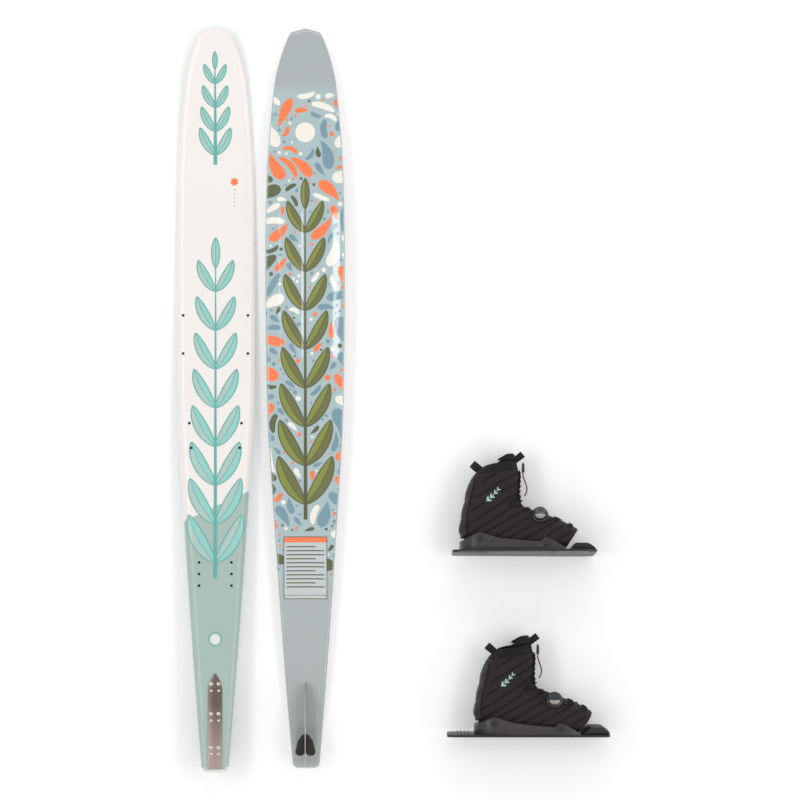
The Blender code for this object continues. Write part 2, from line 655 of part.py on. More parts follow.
def dial_axis():
    # outward direction and the middle of the base's face
    out = Vector((0, -cos(DIAL_LEAN), sin(DIAL_LEAN)))
    return Vector((DIAL_AT[0], -DIAL_FACE, DIAL_AT[1])), out


def build_dial(item, prefix, foot):
    face, out = dial_axis()
    base = place(item, prefix + "_dial_base", turned(
        "dial_base", face - out * 22, out, [(0, DIAL_BASE_RADIUS), (19, DIAL_BASE_RADIUS), (22, 16.2)], 24),
        "dial_black")
    boolean(base, foot)
    round_hub = lambda low, high, room: [(low, DIAL_HUB_RADIUS + room), (high, DIAL_HUB_RADIUS + room)]
    bore = turned("bore", face - out * (DIAL_HUB_FOOT + GAP), out, round_hub(0, 20, GAP), 12)
    boolean(base, place(item, prefix + "_hub_bore", bore))
    stub = turned("hub", face - out * DIAL_HUB_FOOT, out, round_hub(0, DIAL_HUB_FOOT + DIAL_HUB_HEAD, 0), 12)
    smooth(place(item, prefix + "_dial_hub", stub, "dial_metal", origin=face), 40)
    low, high = GAP, GAP + DIAL_KNOB_HEIGHT
    rim = [(low, DIAL_KNOB_RADIUS), (high - 2, DIAL_KNOB_RADIUS), (high, DIAL_KNOB_RADIUS - 1.8)]
    knob = place(item, prefix + "_dial_knob", turned("knob", face, out, rim, 24), "dial_metal", origin=face)
    socket = turned("socket", face - out, out, round_hub(0, 1 + DIAL_HUB_HEAD + GAP, GAP), 12)
    boolean(knob, place(item, prefix + "_knob_socket", socket))
    for part in (base, knob):
        smooth(part, 40)


def build_laces(item, prefix):
    # elastic ankle lace, zigzagging in front of the tongue, then the cord lock on its ends
    lace = []
    turns, points = 7, 22
    for k in range(points):
        share = k / (points - 1)
        ring = 5.9 + 6.6 * share
        sway = (2 / pi) * asin(sin(pi * share * turns)) * 15.5
        width = ring_frame(ring)[3]
        angle = copysign(asin(min(1.0, abs(sway) / width) ** (ROUNDNESS / 2)), sway)
        lace.append(ring_point(ring, angle, 2.6))
    tube(item, prefix + "_ankle_lace", lace, 1.3, "cord", origin=tongue_axis())
    body = box_mesh("lock", (155.2, -5.5, 180.5), (161.2, 5.5, 199.5))
    lock = place(item, prefix + "_cord_lock", body, "rubber", origin=(158.2, 0, 190))
    bevel(lock, 1.4, 2)
    stem = place(item, prefix + "_lock_bore", box_mesh("stem", (156.2, -3.6, 190), (160.2, 3.6, 210)))
    boolean(lock, stem)
    button = place(item, prefix + "_cord_lock_button", box_mesh(
        "button", (156.6, -3.2, 193.5), (159.8, 3.2, 203.0)), "rubber", origin=(158.2, 0, 198))
    bevel(button, 0.6)
    # instep cable: out of the dial, across the throat three times, back to the far side
    route = [(2.3, -50), (2.1, -42), (1.85, -34), (1.6, -14), (1.45, 14), (1.2, 30), (0.95, 30), (0.8, 14),
             (0.7, -14), (0.6, -30), (0.8, -40), (1.1, -38)]
    cable = []
    count = 26
    for k in range(count):
        share = k / (count - 1) * (len(route) - 1)
        ring = through([(i, r) for i, (r, a) in enumerate(route)], share)
        angle = through([(i, a) for i, (r, a) in enumerate(route)], share)
        cable.append(ring_point(ring, radians(angle), 1.9))
    tube(item, prefix + "_instep_cable", cable, 1.1, "cord")


def build_toe_pad(item, prefix):
    side = [(254, 5.3), (264, 20), (272, 22), (300, 21), (311, 16), (315, 10), (315, 5.3)]
    half = 46
    pad = place(item, prefix + "_toe_pad", prism("toe_pad", side, -half, half, axis="y"), "rubber")
    bevel(pad, 4.0, 2, 60)


def build_boot(item, prefix):
    build_plate(item, prefix, PLATES[prefix])
    form = ring_solid("form", steps(0, CUFF_RING, 13), GAP + FACET_ROOM, 28)
    foot = place(item, prefix + "_foot_form", form)
    build_chassis(item, prefix, foot)
    build_upper_group(item, prefix)
    build_loops(item, prefix)
    build_dial(item, prefix, foot)
    build_laces(item, prefix)
    build_toe_pad(item, prefix)


def build_ski(item, prefix):
    build_ski_body(item, prefix)
    build_fin_group(item, prefix)


# Laying the items down

def corners(item):
    # points of the item's real pieces, in the world
    bpy.context.view_layer.update()
    graph = bpy.context.evaluated_depsgraph_get()
    found = []
    for child in item.children:
        if not child.hide_render:
            seen = child.evaluated_get(graph)
            mesh = seen.to_mesh()
            found += [seen.matrix_world @ v.co for v in mesh.vertices]
            seen.to_mesh_clear()
    return found


def resting_slope(points, along):
    # the slope of the lowest side of the item's outline, seen square to that axis, under its middle
    flat = sorted((p[along], p.z) for p in points)
    hull = []
    for p in flat:
        while len(hull) > 1 and ((hull[-1][0] - hull[-2][0]) * (p[1] - hull[-2][1])
                                 <= (hull[-1][1] - hull[-2][1]) * (p[0] - hull[-2][0])):
            hull.pop()
        hull.append(p)
    middle = (flat[0][0] + flat[-1][0]) / 2
    (s1, z1), (s2, z2) = next((a, b) for a, b in zip(hull, hull[1:]) if a[0] <= middle <= b[0])
    return atan2(z2 - z1, s2 - s1)


def lay_down(item, name):
    x, y, facing = LAYOUT[name]
    item.matrix_world = facing
    for _ in range(3):
        lean = Matrix.Rotation(-resting_slope(corners(item), 1), 4, "X")
        item.matrix_world = lean @ item.matrix_world
        lean = Matrix.Rotation(resting_slope(corners(item), 0), 4, "Y")
        item.matrix_world = lean @ item.matrix_world
    seen = corners(item)
    middle = [(min(p[k] for p in seen) + max(p[k] for p in seen)) / 2 for k in (0, 1)]
    item.matrix_world = Matrix.Translation((x * MM - middle[0], y * MM - middle[1],
                                            -min(p.z for p in seen))) @ item.matrix_world


def centre_all(items):
    seen = [p for item in items for p in corners(item)]
    middle = [(min(p[k] for p in seen) + max(p[k] for p in seen)) / 2 for k in (0, 1)]
    shift = Matrix.Translation((-middle[0], -middle[1], 0))
    for item in items:
        item.matrix_world = shift @ item.matrix_world


def main():
    clear_scene()
    items = []
    for name in LAYOUT:
        item = empty(name)
        (build_boot if name in PLATES else build_ski)(item, name)
        lay_down(item, name)
        items.append(item)
    centre_all(items)
    bpy.context.view_layer.update()


main()
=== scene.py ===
# Slalom skis with boots, laid out flat on a pale studio floor.
# Lengths here are millimetres in each item's own frame, turned to metres as a piece is placed.
import json
from functools import partial
from math import asin, ceil, copysign, cos, hypot, pi, radians, sin, sqrt

import bmesh
import bpy
import numpy as np
from mathutils import Matrix, Vector


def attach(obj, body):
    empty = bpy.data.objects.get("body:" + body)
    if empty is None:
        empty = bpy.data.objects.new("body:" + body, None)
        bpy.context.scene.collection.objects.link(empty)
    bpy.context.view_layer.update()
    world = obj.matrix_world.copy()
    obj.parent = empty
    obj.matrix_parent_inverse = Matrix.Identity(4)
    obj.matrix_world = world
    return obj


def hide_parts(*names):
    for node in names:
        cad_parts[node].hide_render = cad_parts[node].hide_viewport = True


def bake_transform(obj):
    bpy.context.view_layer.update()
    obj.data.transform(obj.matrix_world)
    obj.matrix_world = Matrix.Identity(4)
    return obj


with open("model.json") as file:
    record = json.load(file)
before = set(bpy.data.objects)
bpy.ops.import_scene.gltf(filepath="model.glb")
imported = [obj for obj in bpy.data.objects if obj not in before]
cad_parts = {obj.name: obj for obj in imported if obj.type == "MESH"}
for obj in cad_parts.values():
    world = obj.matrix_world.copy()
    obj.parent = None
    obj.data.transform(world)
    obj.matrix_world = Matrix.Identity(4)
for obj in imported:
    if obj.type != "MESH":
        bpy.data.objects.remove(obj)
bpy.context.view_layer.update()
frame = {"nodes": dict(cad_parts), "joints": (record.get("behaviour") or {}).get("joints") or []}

joints = {joint["name"]: joint for joint in frame["joints"]}
mm = 0.001


# Where an item lies, read from two of its joints

def itemFrame(across, along, up, knownPoint, at):
    across, along, up = (Vector(v).normalized() if v else None for v in (across, along, up))
    across = across or along.cross(up)
    along = along or up.cross(across)
    up = up or across.cross(along)
    turn = Matrix((across, along, up)).transposed().to_4x4()
    turn.translation = Vector(at) - turn.to_3x3() @ (Vector(knownPoint) * mm)
    return turn


wingAxis = (0, 66, -34)          # in the ski's frame
dialFace = (193, -46, 83.5)      # in the boot's frame


def skiFrame(side):
    wing, fin = joints[side + "_wing_angle"], joints[side + "_fin_shift"]
    return itemFrame(wing["axis"], fin["axis"], None, wingAxis, wing["pos_m"])


def bootFrame(side):
    flex, lock = joints[side + "_tongue_flex"], joints[side + "_cord_lock_slide"]
    return itemFrame(None, flex["axis"], lock["axis"], dialFace, joints[side + "_dial_spin"]["pos_m"])


# Making pieces

def selectOnly(*pieces):
    if bpy.context.object and bpy.context.object.mode != "OBJECT":
        bpy.ops.object.mode_set(mode="OBJECT")
    bpy.ops.object.select_all(action="DESELECT")
    for piece in pieces:
        piece.select_set(True)
    bpy.context.view_layer.objects.active = pieces[0] if pieces else None


def named(name):
    piece = bpy.context.object
    piece.name = piece.data.name = name
    return piece


def apply(piece, kind, **settings):
    selectOnly(piece)
    modifier = piece.modifiers.new(kind.lower(), kind)
    for key, value in settings.items():
        setattr(modifier, key, value)
    bpy.ops.object.modifier_apply(modifier=modifier.name)
    return piece


def put(piece, place):
    # from millimetres in the item's frame to metres in the row's, with the object at the origin
    piece.data.transform(place @ Matrix.Scale(mm, 4) @ piece.matrix_world)
    piece.matrix_world = Matrix.Identity(4)
    return piece


def joined(name, pieces):
    selectOnly(*pieces)
    if len(pieces) > 1:
        bpy.ops.object.join()
    return named(name)


def rounded(piece, angle=40):
    selectOnly(piece)
    bpy.ops.object.shade_smooth_by_angle(angle=radians(angle))
    return piece


def edited(piece, *operations):
    # runs each (operator, settings) on the whole mesh in edit mode
    selectOnly(piece)
    bpy.ops.object.mode_set(mode="EDIT")
    bpy.ops.mesh.select_all(action="SELECT")
    for operation, settings in operations:
        operation(**settings)
    bpy.ops.object.mode_set(mode="OBJECT")
    return piece


def merged(piece, threshold):
    return edited(piece, (bpy.ops.mesh.remove_doubles, {"threshold": threshold}))


def outward(piece):
    return edited(piece, (bpy.ops.mesh.normals_make_consistent, {"inside": False}))


def grid(name, us, vs, form, closed=False):
    # a grid primitive with a line at each of us and vs, each crossing moved to form(u, v)
    selectOnly()
    columns, rows = len(us) - 1, len(vs) - 1
    bpy.ops.mesh.primitive_grid_add(x_subdivisions=columns, y_subdivisions=rows, size=2)
    piece = named(name)
    places = np.zeros(len(piece.data.vertices) * 3)
    piece.data.vertices.foreach_get("co", places)
    places = places.reshape(-1, 3)
    moved = [form(us[round((x + 1) / 2 * columns)], vs[round((y + 1) / 2 * rows)]) for x, y, _ in places]
    piece.data.vertices.foreach_set("co", np.array(moved).ravel())
    piece.data.update()
    return merged(piece, 0.001) if closed else piece


def pruned(piece, kind, unwanted):
    # without the vertices or faces that unwanted picks out
    mesh = bmesh.new()
    mesh.from_mesh(piece.data)
    parts = mesh.verts if kind == "VERTS" else mesh.faces
    bmesh.ops.delete(mesh, geom=[part for part in parts if unwanted(part)], context=kind)
    mesh.to_mesh(piece.data)
    mesh.free()
    return piece


def refined(node, name, edge):
    # a copy of a hard part with its edges eased; edge in millimetres
    source = frame["nodes"][node]
    piece = source.copy()
    piece.data = source.data.copy()
    for key in [key for key in piece.keys() if key.startswith("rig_")]:
        del piece[key]
    bpy.context.scene.collection.objects.link(piece)
    piece.parent = None
    piece.name = piece.data.name = name
    piece.data.materials.clear()
    edited(piece, (bpy.ops.mesh.remove_doubles, {"threshold": 0.00001}),
           (bpy.ops.mesh.dissolve_limited, {"angle_limit": radians(1)}))
    apply(piece, "BEVEL", width=edge * mm, segments=2, limit_method="ANGLE", angle_limit=radians(30),
          use_clamp_overlap=True, harden_normals=False)
    return rounded(piece)


def finish(piece, material, body, slot, replaces=()):
    piece.data.materials.clear()
    piece.data.materials.append(material)
    if body:
        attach(piece, body)
    if replaces:
        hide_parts(*replaces)
    return piece


def through(knots, at):
    # a smooth value read from (position, value) knots
    if at <= knots[0][0]:
        return knots[0][1]
    if at >= knots[-1][0]:
        return knots[-1][1]
    k = max(i for i in range(len(knots) - 1) if knots[i][0] <= at)
    (x1, y1), (x2, y2) = knots[k], knots[k + 1]
    x0, y0 = knots[max(k - 1, 0)]
    x3, y3 = knots[min(k + 2, len(knots) - 1)]
    span = x2 - x1
    m1, m2 = (y2 - y0) / (x2 - x0), (y3 - y1) / (x3 - x1)
    s = (at - x1) / span
    return ((2 * s**3 - 3 * s**2 + 1) * y1 + (s**3 - 2 * s**2 + s) * span * m1
            + (3 * s**2 - 2 * s**3) * y2 + (s**3 - s**2) * span * m2)


def steps(low, high, count):
    return [low + (high - low) * i / count for i in range(count + 1)]


# Shader maths

class Wire:
    # a node's output, with arithmetic that adds Math nodes
    def __init__(self, tree, socket):
        self.tree, self.socket = tree, socket

    def maths(self, operation, *others, flip=False):
        node = self.tree.nodes.new("ShaderNodeMath")
        node.operation = operation
        values = [self, *others]
        if flip:
            values = values[::-1]
        for place, value in zip(node.inputs, values):
            if isinstance(value, Wire):
                self.tree.links.new(value.socket, place)
            else:
                place.default_value = value
        return Wire(self.tree, node.outputs[0])

    def __add__(self, other): return self.maths("ADD", other)
    def __radd__(self, other): return self.maths("ADD", other)
    def __sub__(self, other): return self.maths("SUBTRACT", other)
    def __rsub__(self, other): return self.maths("SUBTRACT", other, flip=True)
    def __mul__(self, other): return self.maths("MULTIPLY", other)
    def __rmul__(self, other): return self.maths("MULTIPLY", other)
    def above(self, edge): return self.maths("GREATER_THAN", edge)
    def below(self, edge): return self.maths("LESS_THAN", edge)
    def power(self, value): return self.maths("POWER", value)
    def sine(self): return self.maths("SINE")
    def limited(self): return self.maths("MINIMUM", 1.0).maths("MAXIMUM", 0.0)


class Finish:
    # one material: node() adds any node, and the shader's own sockets are set by name
    def __init__(self, name, **shader):
        self.material = bpy.data.materials.new(name)
        self.material.use_nodes = True
        self.tree = self.material.node_tree
        self.shader = self.tree.nodes["Principled BSDF"]
        self.set(**shader)

    def set(self, **values):
        for key, value in values.items():
            self.plug(self.shader.inputs[key.replace("_", " ")], value)
        return self

    def plug(self, place, value):
        if isinstance(value, Wire):
            self.tree.links.new(value.socket, place)
        elif isinstance(value, (tuple, list)) and len(value) == 3 and place.type == "RGBA":
            place.default_value = (*value, 1.0)
        else:
            place.default_value = value

    def node(self, kind, settings=None, output=0, **sockets):
        made = self.tree.nodes.new("ShaderNode" + kind)
        for key, value in (settings or {}).items():
            setattr(made, key, value)
        for key, value in sockets.items():
            key = key.replace("_", " ")
            place = next(i for i in made.inputs if i.name == key and i.enabled)
            self.plug(place, value)
        found = made.outputs[output] if isinstance(output, int) else next(
            o for o in made.outputs if o.name == output and o.enabled)
        return Wire(self.tree, found)

    def place(self, turn=None):
        # object coordinates, or an item's own ones in metres
        spot = self.node("TexCoord", output="Object")
        if turn is None:
            return spot
        back = turn.inverted()
        return self.node("Mapping", {"vector_type": "POINT"}, Vector=spot, Location=tuple(back.translation),
                         Rotation=tuple(back.to_euler()))

    def axes(self, spot):
        split = self.tree.nodes.new("ShaderNodeSeparateXYZ")
        self.tree.links.new(spot.socket, split.inputs[0])
        return [Wire(self.tree, o) for o in split.outputs]

    def noise(self, spot, scale, detail=3.0):
        return self.node("TexNoise", output="Fac", Vector=spot, Scale=scale, Detail=detail, Roughness=0.5)

    def mix(self, share, low, high):
        return self.node("Mix", {"data_type": "RGBA"}, output="Result", Factor=share, A=low, B=high)

    def bump(self, height, strength, distance):
        return self.set(Normal=self.node("Bump", output="Normal", Height=height, Strength=strength,
                                         Distance=distance))


def tone(*values):
    # a colour given as it looks on screen, 0 to 255, in the renderer's linear light
    return tuple((v / 255 / 12.92) if v < 10.4 else ((v / 255 + 0.055) / 1.055) ** 2.4 for v in values)


def shades(colour, dark, pale):
    # two neighbours of a colour for a noise to drift between
    return tuple(c * dark for c in colour), tuple(min(1.0, c * pale) for c in colour)


def grained(name, colour, rough, spread=(0.85, 1.18), scales=(14.0, 420.0), detail=(2.0, 4.0), roughSpan=0.14,
            strength=0.25, depth=0.0003, **shader):
    # a slow drift of tone, and a fine grain in the roughness and the relief
    made = Finish(name, **shader)
    wide, fine = (made.noise(made.place(), scale, d) for scale, d in zip(scales, detail))
    made.set(Base_Color=made.mix(wide, *shades(colour, *spread)), Roughness=fine * roughSpan + rough)
    return made.bump(fine, strength, depth).material


# Skis

ski = {
    "length": 1651.0,
    "outline": [(13, 30.5), (120, 39.5), (335, 55.6), (600, 73.3), (780, 84.0), (1000, 87.9), (1140, 88.4),
                (1270, 86.8), (1360, 83.4), (1450, 76.6), (1537, 66.8), (1582, 56.2), (1624, 41.7), (1641, 33.5)],
    "thickness": [(0, 9.0), (220, 12.0), (500, 16.0), (800, 17.5), (1100, 15.0), (1400, 10.5), (1651, 7.5)],
    "tailRadius": 13.0, "tipPeak": 10.0,
    "tipRocker": 55.0, "tipRockerFrom": 900.0, "tailRocker": 10.0, "tailRockerTo": 480.0,
    "tunnelDepth": 2.6, "shoulder": 20.0, "skin": 1.2,
    "inserts": [(1015, 72), (930, 72), (775, 58), (720, 54), (465.5, 36), (440, 36), (414, 36)],
    "rowPitch": 9.0, "columns": 56,
}
tipCorner = ski["outline"][-1][0]


def halfWidth(y):
    if y < ski["tailRadius"]:
        r = ski["tailRadius"]
        return ski["outline"][0][1] - r + sqrt(max(0.0, r**2 - (r - y) ** 2))
    return through(ski["outline"], y)


def baseHeight(y):
    tip = max(0.0, (y - ski["tipRockerFrom"]) / (ski["length"] - ski["tipRockerFrom"]))
    tail = max(0.0, (ski["tailRockerTo"] - y) / ski["tailRockerTo"])
    return ski["tipRocker"] * tip**2.3 + ski["tailRocker"] * tail**2


def deckHeight(y):
    return baseHeight(y) + through(ski["thickness"], y)


def edgeHeight(y):
    return baseHeight(y) + 0.42 * through(ski["thickness"], y)


def tunnel(y):
    return ski["tunnelDepth"] * max(0.0, min(1.0, y / 90.0, (ski["length"] - y) / 400.0))


def tipBow(x, y):
    near = max(0.0, 1 - (tipCorner - y) / 45.0)
    half = halfWidth(min(y, tipCorner))
    return y + ski["tipPeak"] * near**2 * (1 - min(1.0, abs(x) / half)) ** 0.8


def rim(x, y, reach):
    # 0 well inside the outline, rising to 1 at its edge
    beside = (halfWidth(y) - abs(x)) / min(reach, 0.42 * halfWidth(y))
    ends = min(y / 7.0, (tipCorner + 0.001 - y) / 9.0)
    return min(1.0, max(0.0, 1 - beside, 1 - ends))


def deckPoint(x, y, lift=0.0):
    top, edge = deckHeight(y), edgeHeight(y)
    return (x, tipBow(x, y), top - (top - edge) * rim(x, y, ski["shoulder"]) ** 2.2 + lift)


def basePoint(x, y, lift=0.0):
    low, half = baseHeight(y), halfWidth(y)
    share = min(1.0, abs(x) / (0.66 * half))
    rise = rim(x, y, 8.0)
    if lift:
        lift += 0.45 * min(1.0, 2.5 * rim(x, y, 10.0))
    z = low + tunnel(y) * (1 - share**2) ** 1.6 + (edgeHeight(y) - 0.3 - low) * (1 - sqrt(1 - rise**2.4))
    return (x, tipBow(x, y), z - lift)


def skiRows():
    tail = [0.0, 0.4, 1.2, 2.5, 4.3, 6.6, 9.5, 13.0]
    body = steps(20.0, tipCorner - 22.0, round((tipCorner - 42.0) / ski["rowPitch"]))
    return tail + body + [tipCorner - k for k in (16, 11, 7.5, 5, 3, 1.5, 0.5, 0)]


def skiColumns():
    # closer together towards the edges
    return [sin(pi / 2 * s) for s in steps(-1, 1, ski["columns"])]


def skiSkin(name, point, place, flipped):
    skin = grid(name, skiColumns(), skiRows(), lambda u, y: point(u * halfWidth(y), y))
    if flipped:
        edited(skin, (bpy.ops.mesh.flip_normals, {}))
    apply(skin, "SOLIDIFY", thickness=ski["skin"], offset=-1.0)
    return put(rounded(skin, 50), place)


# Printed film on the skis: every figure is a spine with a width that swells and dies away

class Figure:
    # starts at x, y and heads that many degrees from the tip's direction, turning by bend on its way
    def __init__(self, x, y, heading, length, width, bend=0.0, head=0.8, tail=0.9):
        self.head, self.tail = head, tail
        count = max(8, ceil(length / 4.0))
        shares = steps(0, 1, count)
        if head <= 0.5:
            shares = [(1 - cos(pi * s)) / 2 for s in shares]
        self.points = []
        last = 0.0
        for share in shares:
            middle = (share + last) / 2
            turn = radians(heading + bend * middle)
            x, y = x + sin(turn) * length * (share - last), y + cos(turn) * length * (share - last)
            self.points.append((share, x, y, radians(heading + bend * share)))
            last = share
        peak = head / (head + tail)
        self.scale = width / 2 / (peak**head * (1 - peak) ** tail)

    def half(self, share):
        return self.scale * max(0.0, share) ** self.head * max(0.0, 1 - share) ** self.tail

    def low(self, share):
        return -self.half(share)

    def at(self, index, offset):
        share, x, y, turn = self.points[index]
        return x + cos(turn) * offset, y - sin(turn) * offset


def inside(x, y, margin):
    # the nearest place on the ski, and whether it had to move
    y2 = min(max(y, margin), tipCorner - 1.0)
    limit = halfWidth(y2) - margin
    x2 = min(max(x, -limit), limit)
    return x2, y2, (abs(x2 - x) + abs(y2 - y)) > 1e-6


def film(name, figure, low, high, point, lift, side=1, pitch=4.0, margin=0.8):
    # the strip of a figure between two offsets from its spine, laid on the ski
    widest = max(high(s) - low(s) for s, *_ in figure.points)
    columns = max(1, ceil(widest / pitch))
    indices = list(range(len(figure.points)))
    moved = []

    def form(u, index):
        share = figure.points[index][0]
        x, y = figure.at(index, low(share) + (high(share) - low(share)) * u)
        x, y, changed = inside(x, y, margin)
        moved.append(changed)
        return point(side * x, y, lift)

    # faces that were pressed flat against the ski's edge go
    return pruned(grid(name, steps(0, 1, columns), indices, form), "FACES",
                  lambda face: all(moved[vert.index] for vert in face.verts))


inks = {
    "mint": tone(166, 187, 180), "deckLeaf": tone(174, 199, 192), "deckStreak": tone(146, 205, 197),
    "deckLine": tone(92, 175, 167),
    "olive": tone(131, 139, 50), "oliveStreak": tone(104, 108, 50), "oliveLine": tone(80, 82, 48),
    "coral": tone(255, 124, 68), "cream": tone(243, 239, 228), "steelBlue": tone(117, 151, 166),
    "darkOlive": tone(86, 95, 57), "pearl": tone(225, 228, 224), "labelGrey": tone(196, 205, 205),
}
inkMaterials = {}
# roughness, coat, coat roughness
gloss = {"deck": (0.36, 0.3, 0.1), "base": (0.2, 1.0, 0.03)}


def ink(name, side):
    if (name, side) not in inkMaterials:
        # a fine print grain and a slow drift of tone
        rough, coat, coatRough = gloss[side]
        made = Finish(side + "_ink_" + name, Coat_Weight=coat, Coat_Roughness=coatRough)
        grain = made.noise(made.place(), 700.0, 2.0)
        drift = made.noise(made.place(), 9.0, 2.0)
        made.set(Base_Color=made.mix(grain * 0.35 + drift * 0.65, *shades(inks[name], 0.94, 1.06)),
                 Roughness=grain * 0.06 + rough - 0.03)
        inkMaterials[name, side] = made.material
    return inkMaterials[name, side]


# Plain branches of evenly spaced leaf pairs on the ski's middle line, worked out from these few numbers.
branches = {
    "deckMiddle": {"foot": 430.0, "top": 1120.0, "pairs": 8, "longest": 124.0, "widest": 33.0},
    "deckTip": {"foot": 1350.0, "top": 1560.0, "pairs": 4, "longest": 70.0, "widest": 19.0},
    "baseMiddle": {"foot": 560.0, "top": 1250.0, "pairs": 8, "longest": 124.0, "widest": 33.0},
    "open": 44.0, "bend": -30.0, "taper": 0.4, "endSize": 0.55, "leafEnds": 0.75,
    "edgeHalf": 1.2, "ribHalf": 0.8, "stemHalf": 4.2,
}


def branchLeaf(branch, y, size, hand):
    return Figure(0, y, hand * branches["open"], branch["longest"] * size, branch["widest"] * size,
                  hand * branches["bend"], branches["leafEnds"], branches["leafEnds"])


def branchLeaves(branch):
    # opposite pairs that shorten along the stem, and one leaf at its end
    leaves = []
    for k in range(branch["pairs"]):
        size = 1 - branches["taper"] * k / branch["pairs"]
        y = branch["foot"] + (branch["top"] - branch["foot"]) * (k + 0.4) / branch["pairs"]
        leaves += [branchLeaf(branch, y, size, hand) for hand in (-1, 1)]
    return leaves + [branchLeaf(branch, branch["top"], branches["endSize"], 0)]


def printBranch(label, branch, point, side, made):
    # each leaf is a pale blade with one half shaded, an outline and a rib
    def lay(part, figure, low, high, lift):
        made[part].append(film(label + part, figure, low, high, point, lift, side))

    for figure in branchLeaves(branch):
        lay("leaf", figure, figure.low, figure.half, 0.2)
        lay("streak", figure, lambda s: 0.0, figure.half, 0.3)
        for share, half in [(-1, branches["edgeHalf"]), (0, branches["ribHalf"]), (1, branches["edgeHalf"])]:
            lay("line", figure, lambda s: share * figure.half(s) - half,
                lambda s: share * figure.half(s) + half, 0.4)
    stem = Figure(0, branch["foot"], 0, branch["top"] - branch["foot"], 2)
    narrowed = lambda s: (1.4 - s) * branches["stemHalf"] / 1.4
    lay("line", stem, lambda s: -narrowed(s), narrowed, 0.5)


def disc(label, x, y, radius, point, side, lift):
    figure = Figure(x, y - radius, 0, 2 * radius, 2 * radius, 0, 0.5, 0.5)
    return film(label, figure, figure.low, figure.half, point, lift, side, pitch=2.5)


def arcBand(label, x, y, radius, width, start, turn, point, side, lift):
    # part of a ring round x, y, from start degrees clockwise from the tip's direction
    a = radians(start)
    figure = Figure(x + radius * sin(a), y + radius * cos(a), start + 90, radians(turn) * radius, 2, turn, 0.05,
                    0.05)
    return film(label, figure, lambda s: -width / 2, lambda s: width / 2, point, lift, side, pitch=2.0)


def printDone(body, kind, place, name, pieces, colour):
    piece = rounded(put(joined(body + "_" + name, pieces), place), 60)
    finish(piece, ink(colour, kind), body, kind + "_laminate")


colourBlock = {"edge": 590.0, "rise": 34.0, "rows": 90, "columns": 44}
badge = {"x": 0.0, "y": 295.0, "radius": 11.5, "ringRadius": 15.0, "ringWidth": 1.8}
spot = {"x": 42.0, "y": 1312.0, "radius": 8.0, "beads": 5, "beadPitch": 9.0, "beadRadius": 1.7}


def deckPrint(place, body):
    point, done = deckPoint, partial(printDone, body, "deck", place)
    made = {"leaf": [], "streak": [], "line": []}
    for branch in ("deckMiddle", "deckTip"):
        printBranch("deck", branches[branch], point, 1, made)

    def form(u, v):
        y = v * (colourBlock["edge"] + colourBlock["rise"] * u)
        x, y, _ = inside(halfWidth(y) * u, y, 0.5)
        return point(x, y, 0.1)

    ground = grid("ground", [sin(pi / 2 * u) for u in steps(-1, 1, colourBlock["columns"])],
                  steps(0, 1, colourBlock["rows"]), form)
    done("mint_ground", [ground], "mint")
    done("leaf_print", made["leaf"], "deckLeaf")
    done("streak_print", made["streak"], "deckStreak")
    done("line_print", made["line"], "deckLine")
    done("badge", [disc("pearl", badge["x"], badge["y"], badge["radius"], point, 1, 0.4)], "pearl")
    done("badge_ring", [arcBand("ring", badge["x"], badge["y"], badge["ringRadius"], badge["ringWidth"],
                                              180 * k, 180, point, 1, 0.4) for k in (0, 1)], "deckLine")
    done("coral_spot", [disc("spot", spot["x"], spot["y"], spot["radius"], point, 1, 0.4)], "coral")
    first = spot["y"] - 2 * spot["beadPitch"]
    beads = [disc("bead", spot["x"], first - spot["beadPitch"] * k, spot["beadRadius"], point, 1, 0.4)
             for k in range(spot["beads"])]
    done("beads", beads, "mint")


scatter = {
    "low": 436.0, "high": 1502.0, "seed": 23, "apart": 2.7, "dotsApart": 2.3, "cell": 1.3, "widest": 100.0,
    "pitch": 5.0, "margin": 2.4,
    # tries, kind, least and most length, least and most width
    "kinds": [(900, "drop", 52, 76, 20, 29), (1800, "bean", 42, 62, 13, 19),
              (2000, "drop", 32, 50, 12, 19), (3000, "bean", 26, 42, 9, 14), (3000, "drop", 20, 30, 8, 12),
              (2000, "dot", 9, 14, 0, 0), (3000, "dot", 4.5, 8, 0, 0)],
    "colours": ["coral", "cream", "steelBlue", "darkOlive", "steelBlue", "cream", "coral", "steelBlue"],
}


def scatterFigure(kind, rng, shortest, longest, thinnest, widest):
    y = rng.uniform(scatter["low"], scatter["high"])
    x = rng.uniform(-1, 1) * (halfWidth(y) + 6)
    length, width = rng.uniform(shortest, longest), rng.uniform(thinnest, max(widest, thinnest + 0.1))
    heading, bend = rng.uniform(0, 360), rng.uniform(-1, 1)
    if kind == "dot":
        return Figure(x, y - length / 2, 0, length, length, 0, 0.5, 0.5)
    if kind == "drop":
        return Figure(x, y, heading, length, width, 60 * bend, 0.5, 1.1)
    return Figure(x, y, heading, length, width, 120 * bend, 0.32, 0.4)


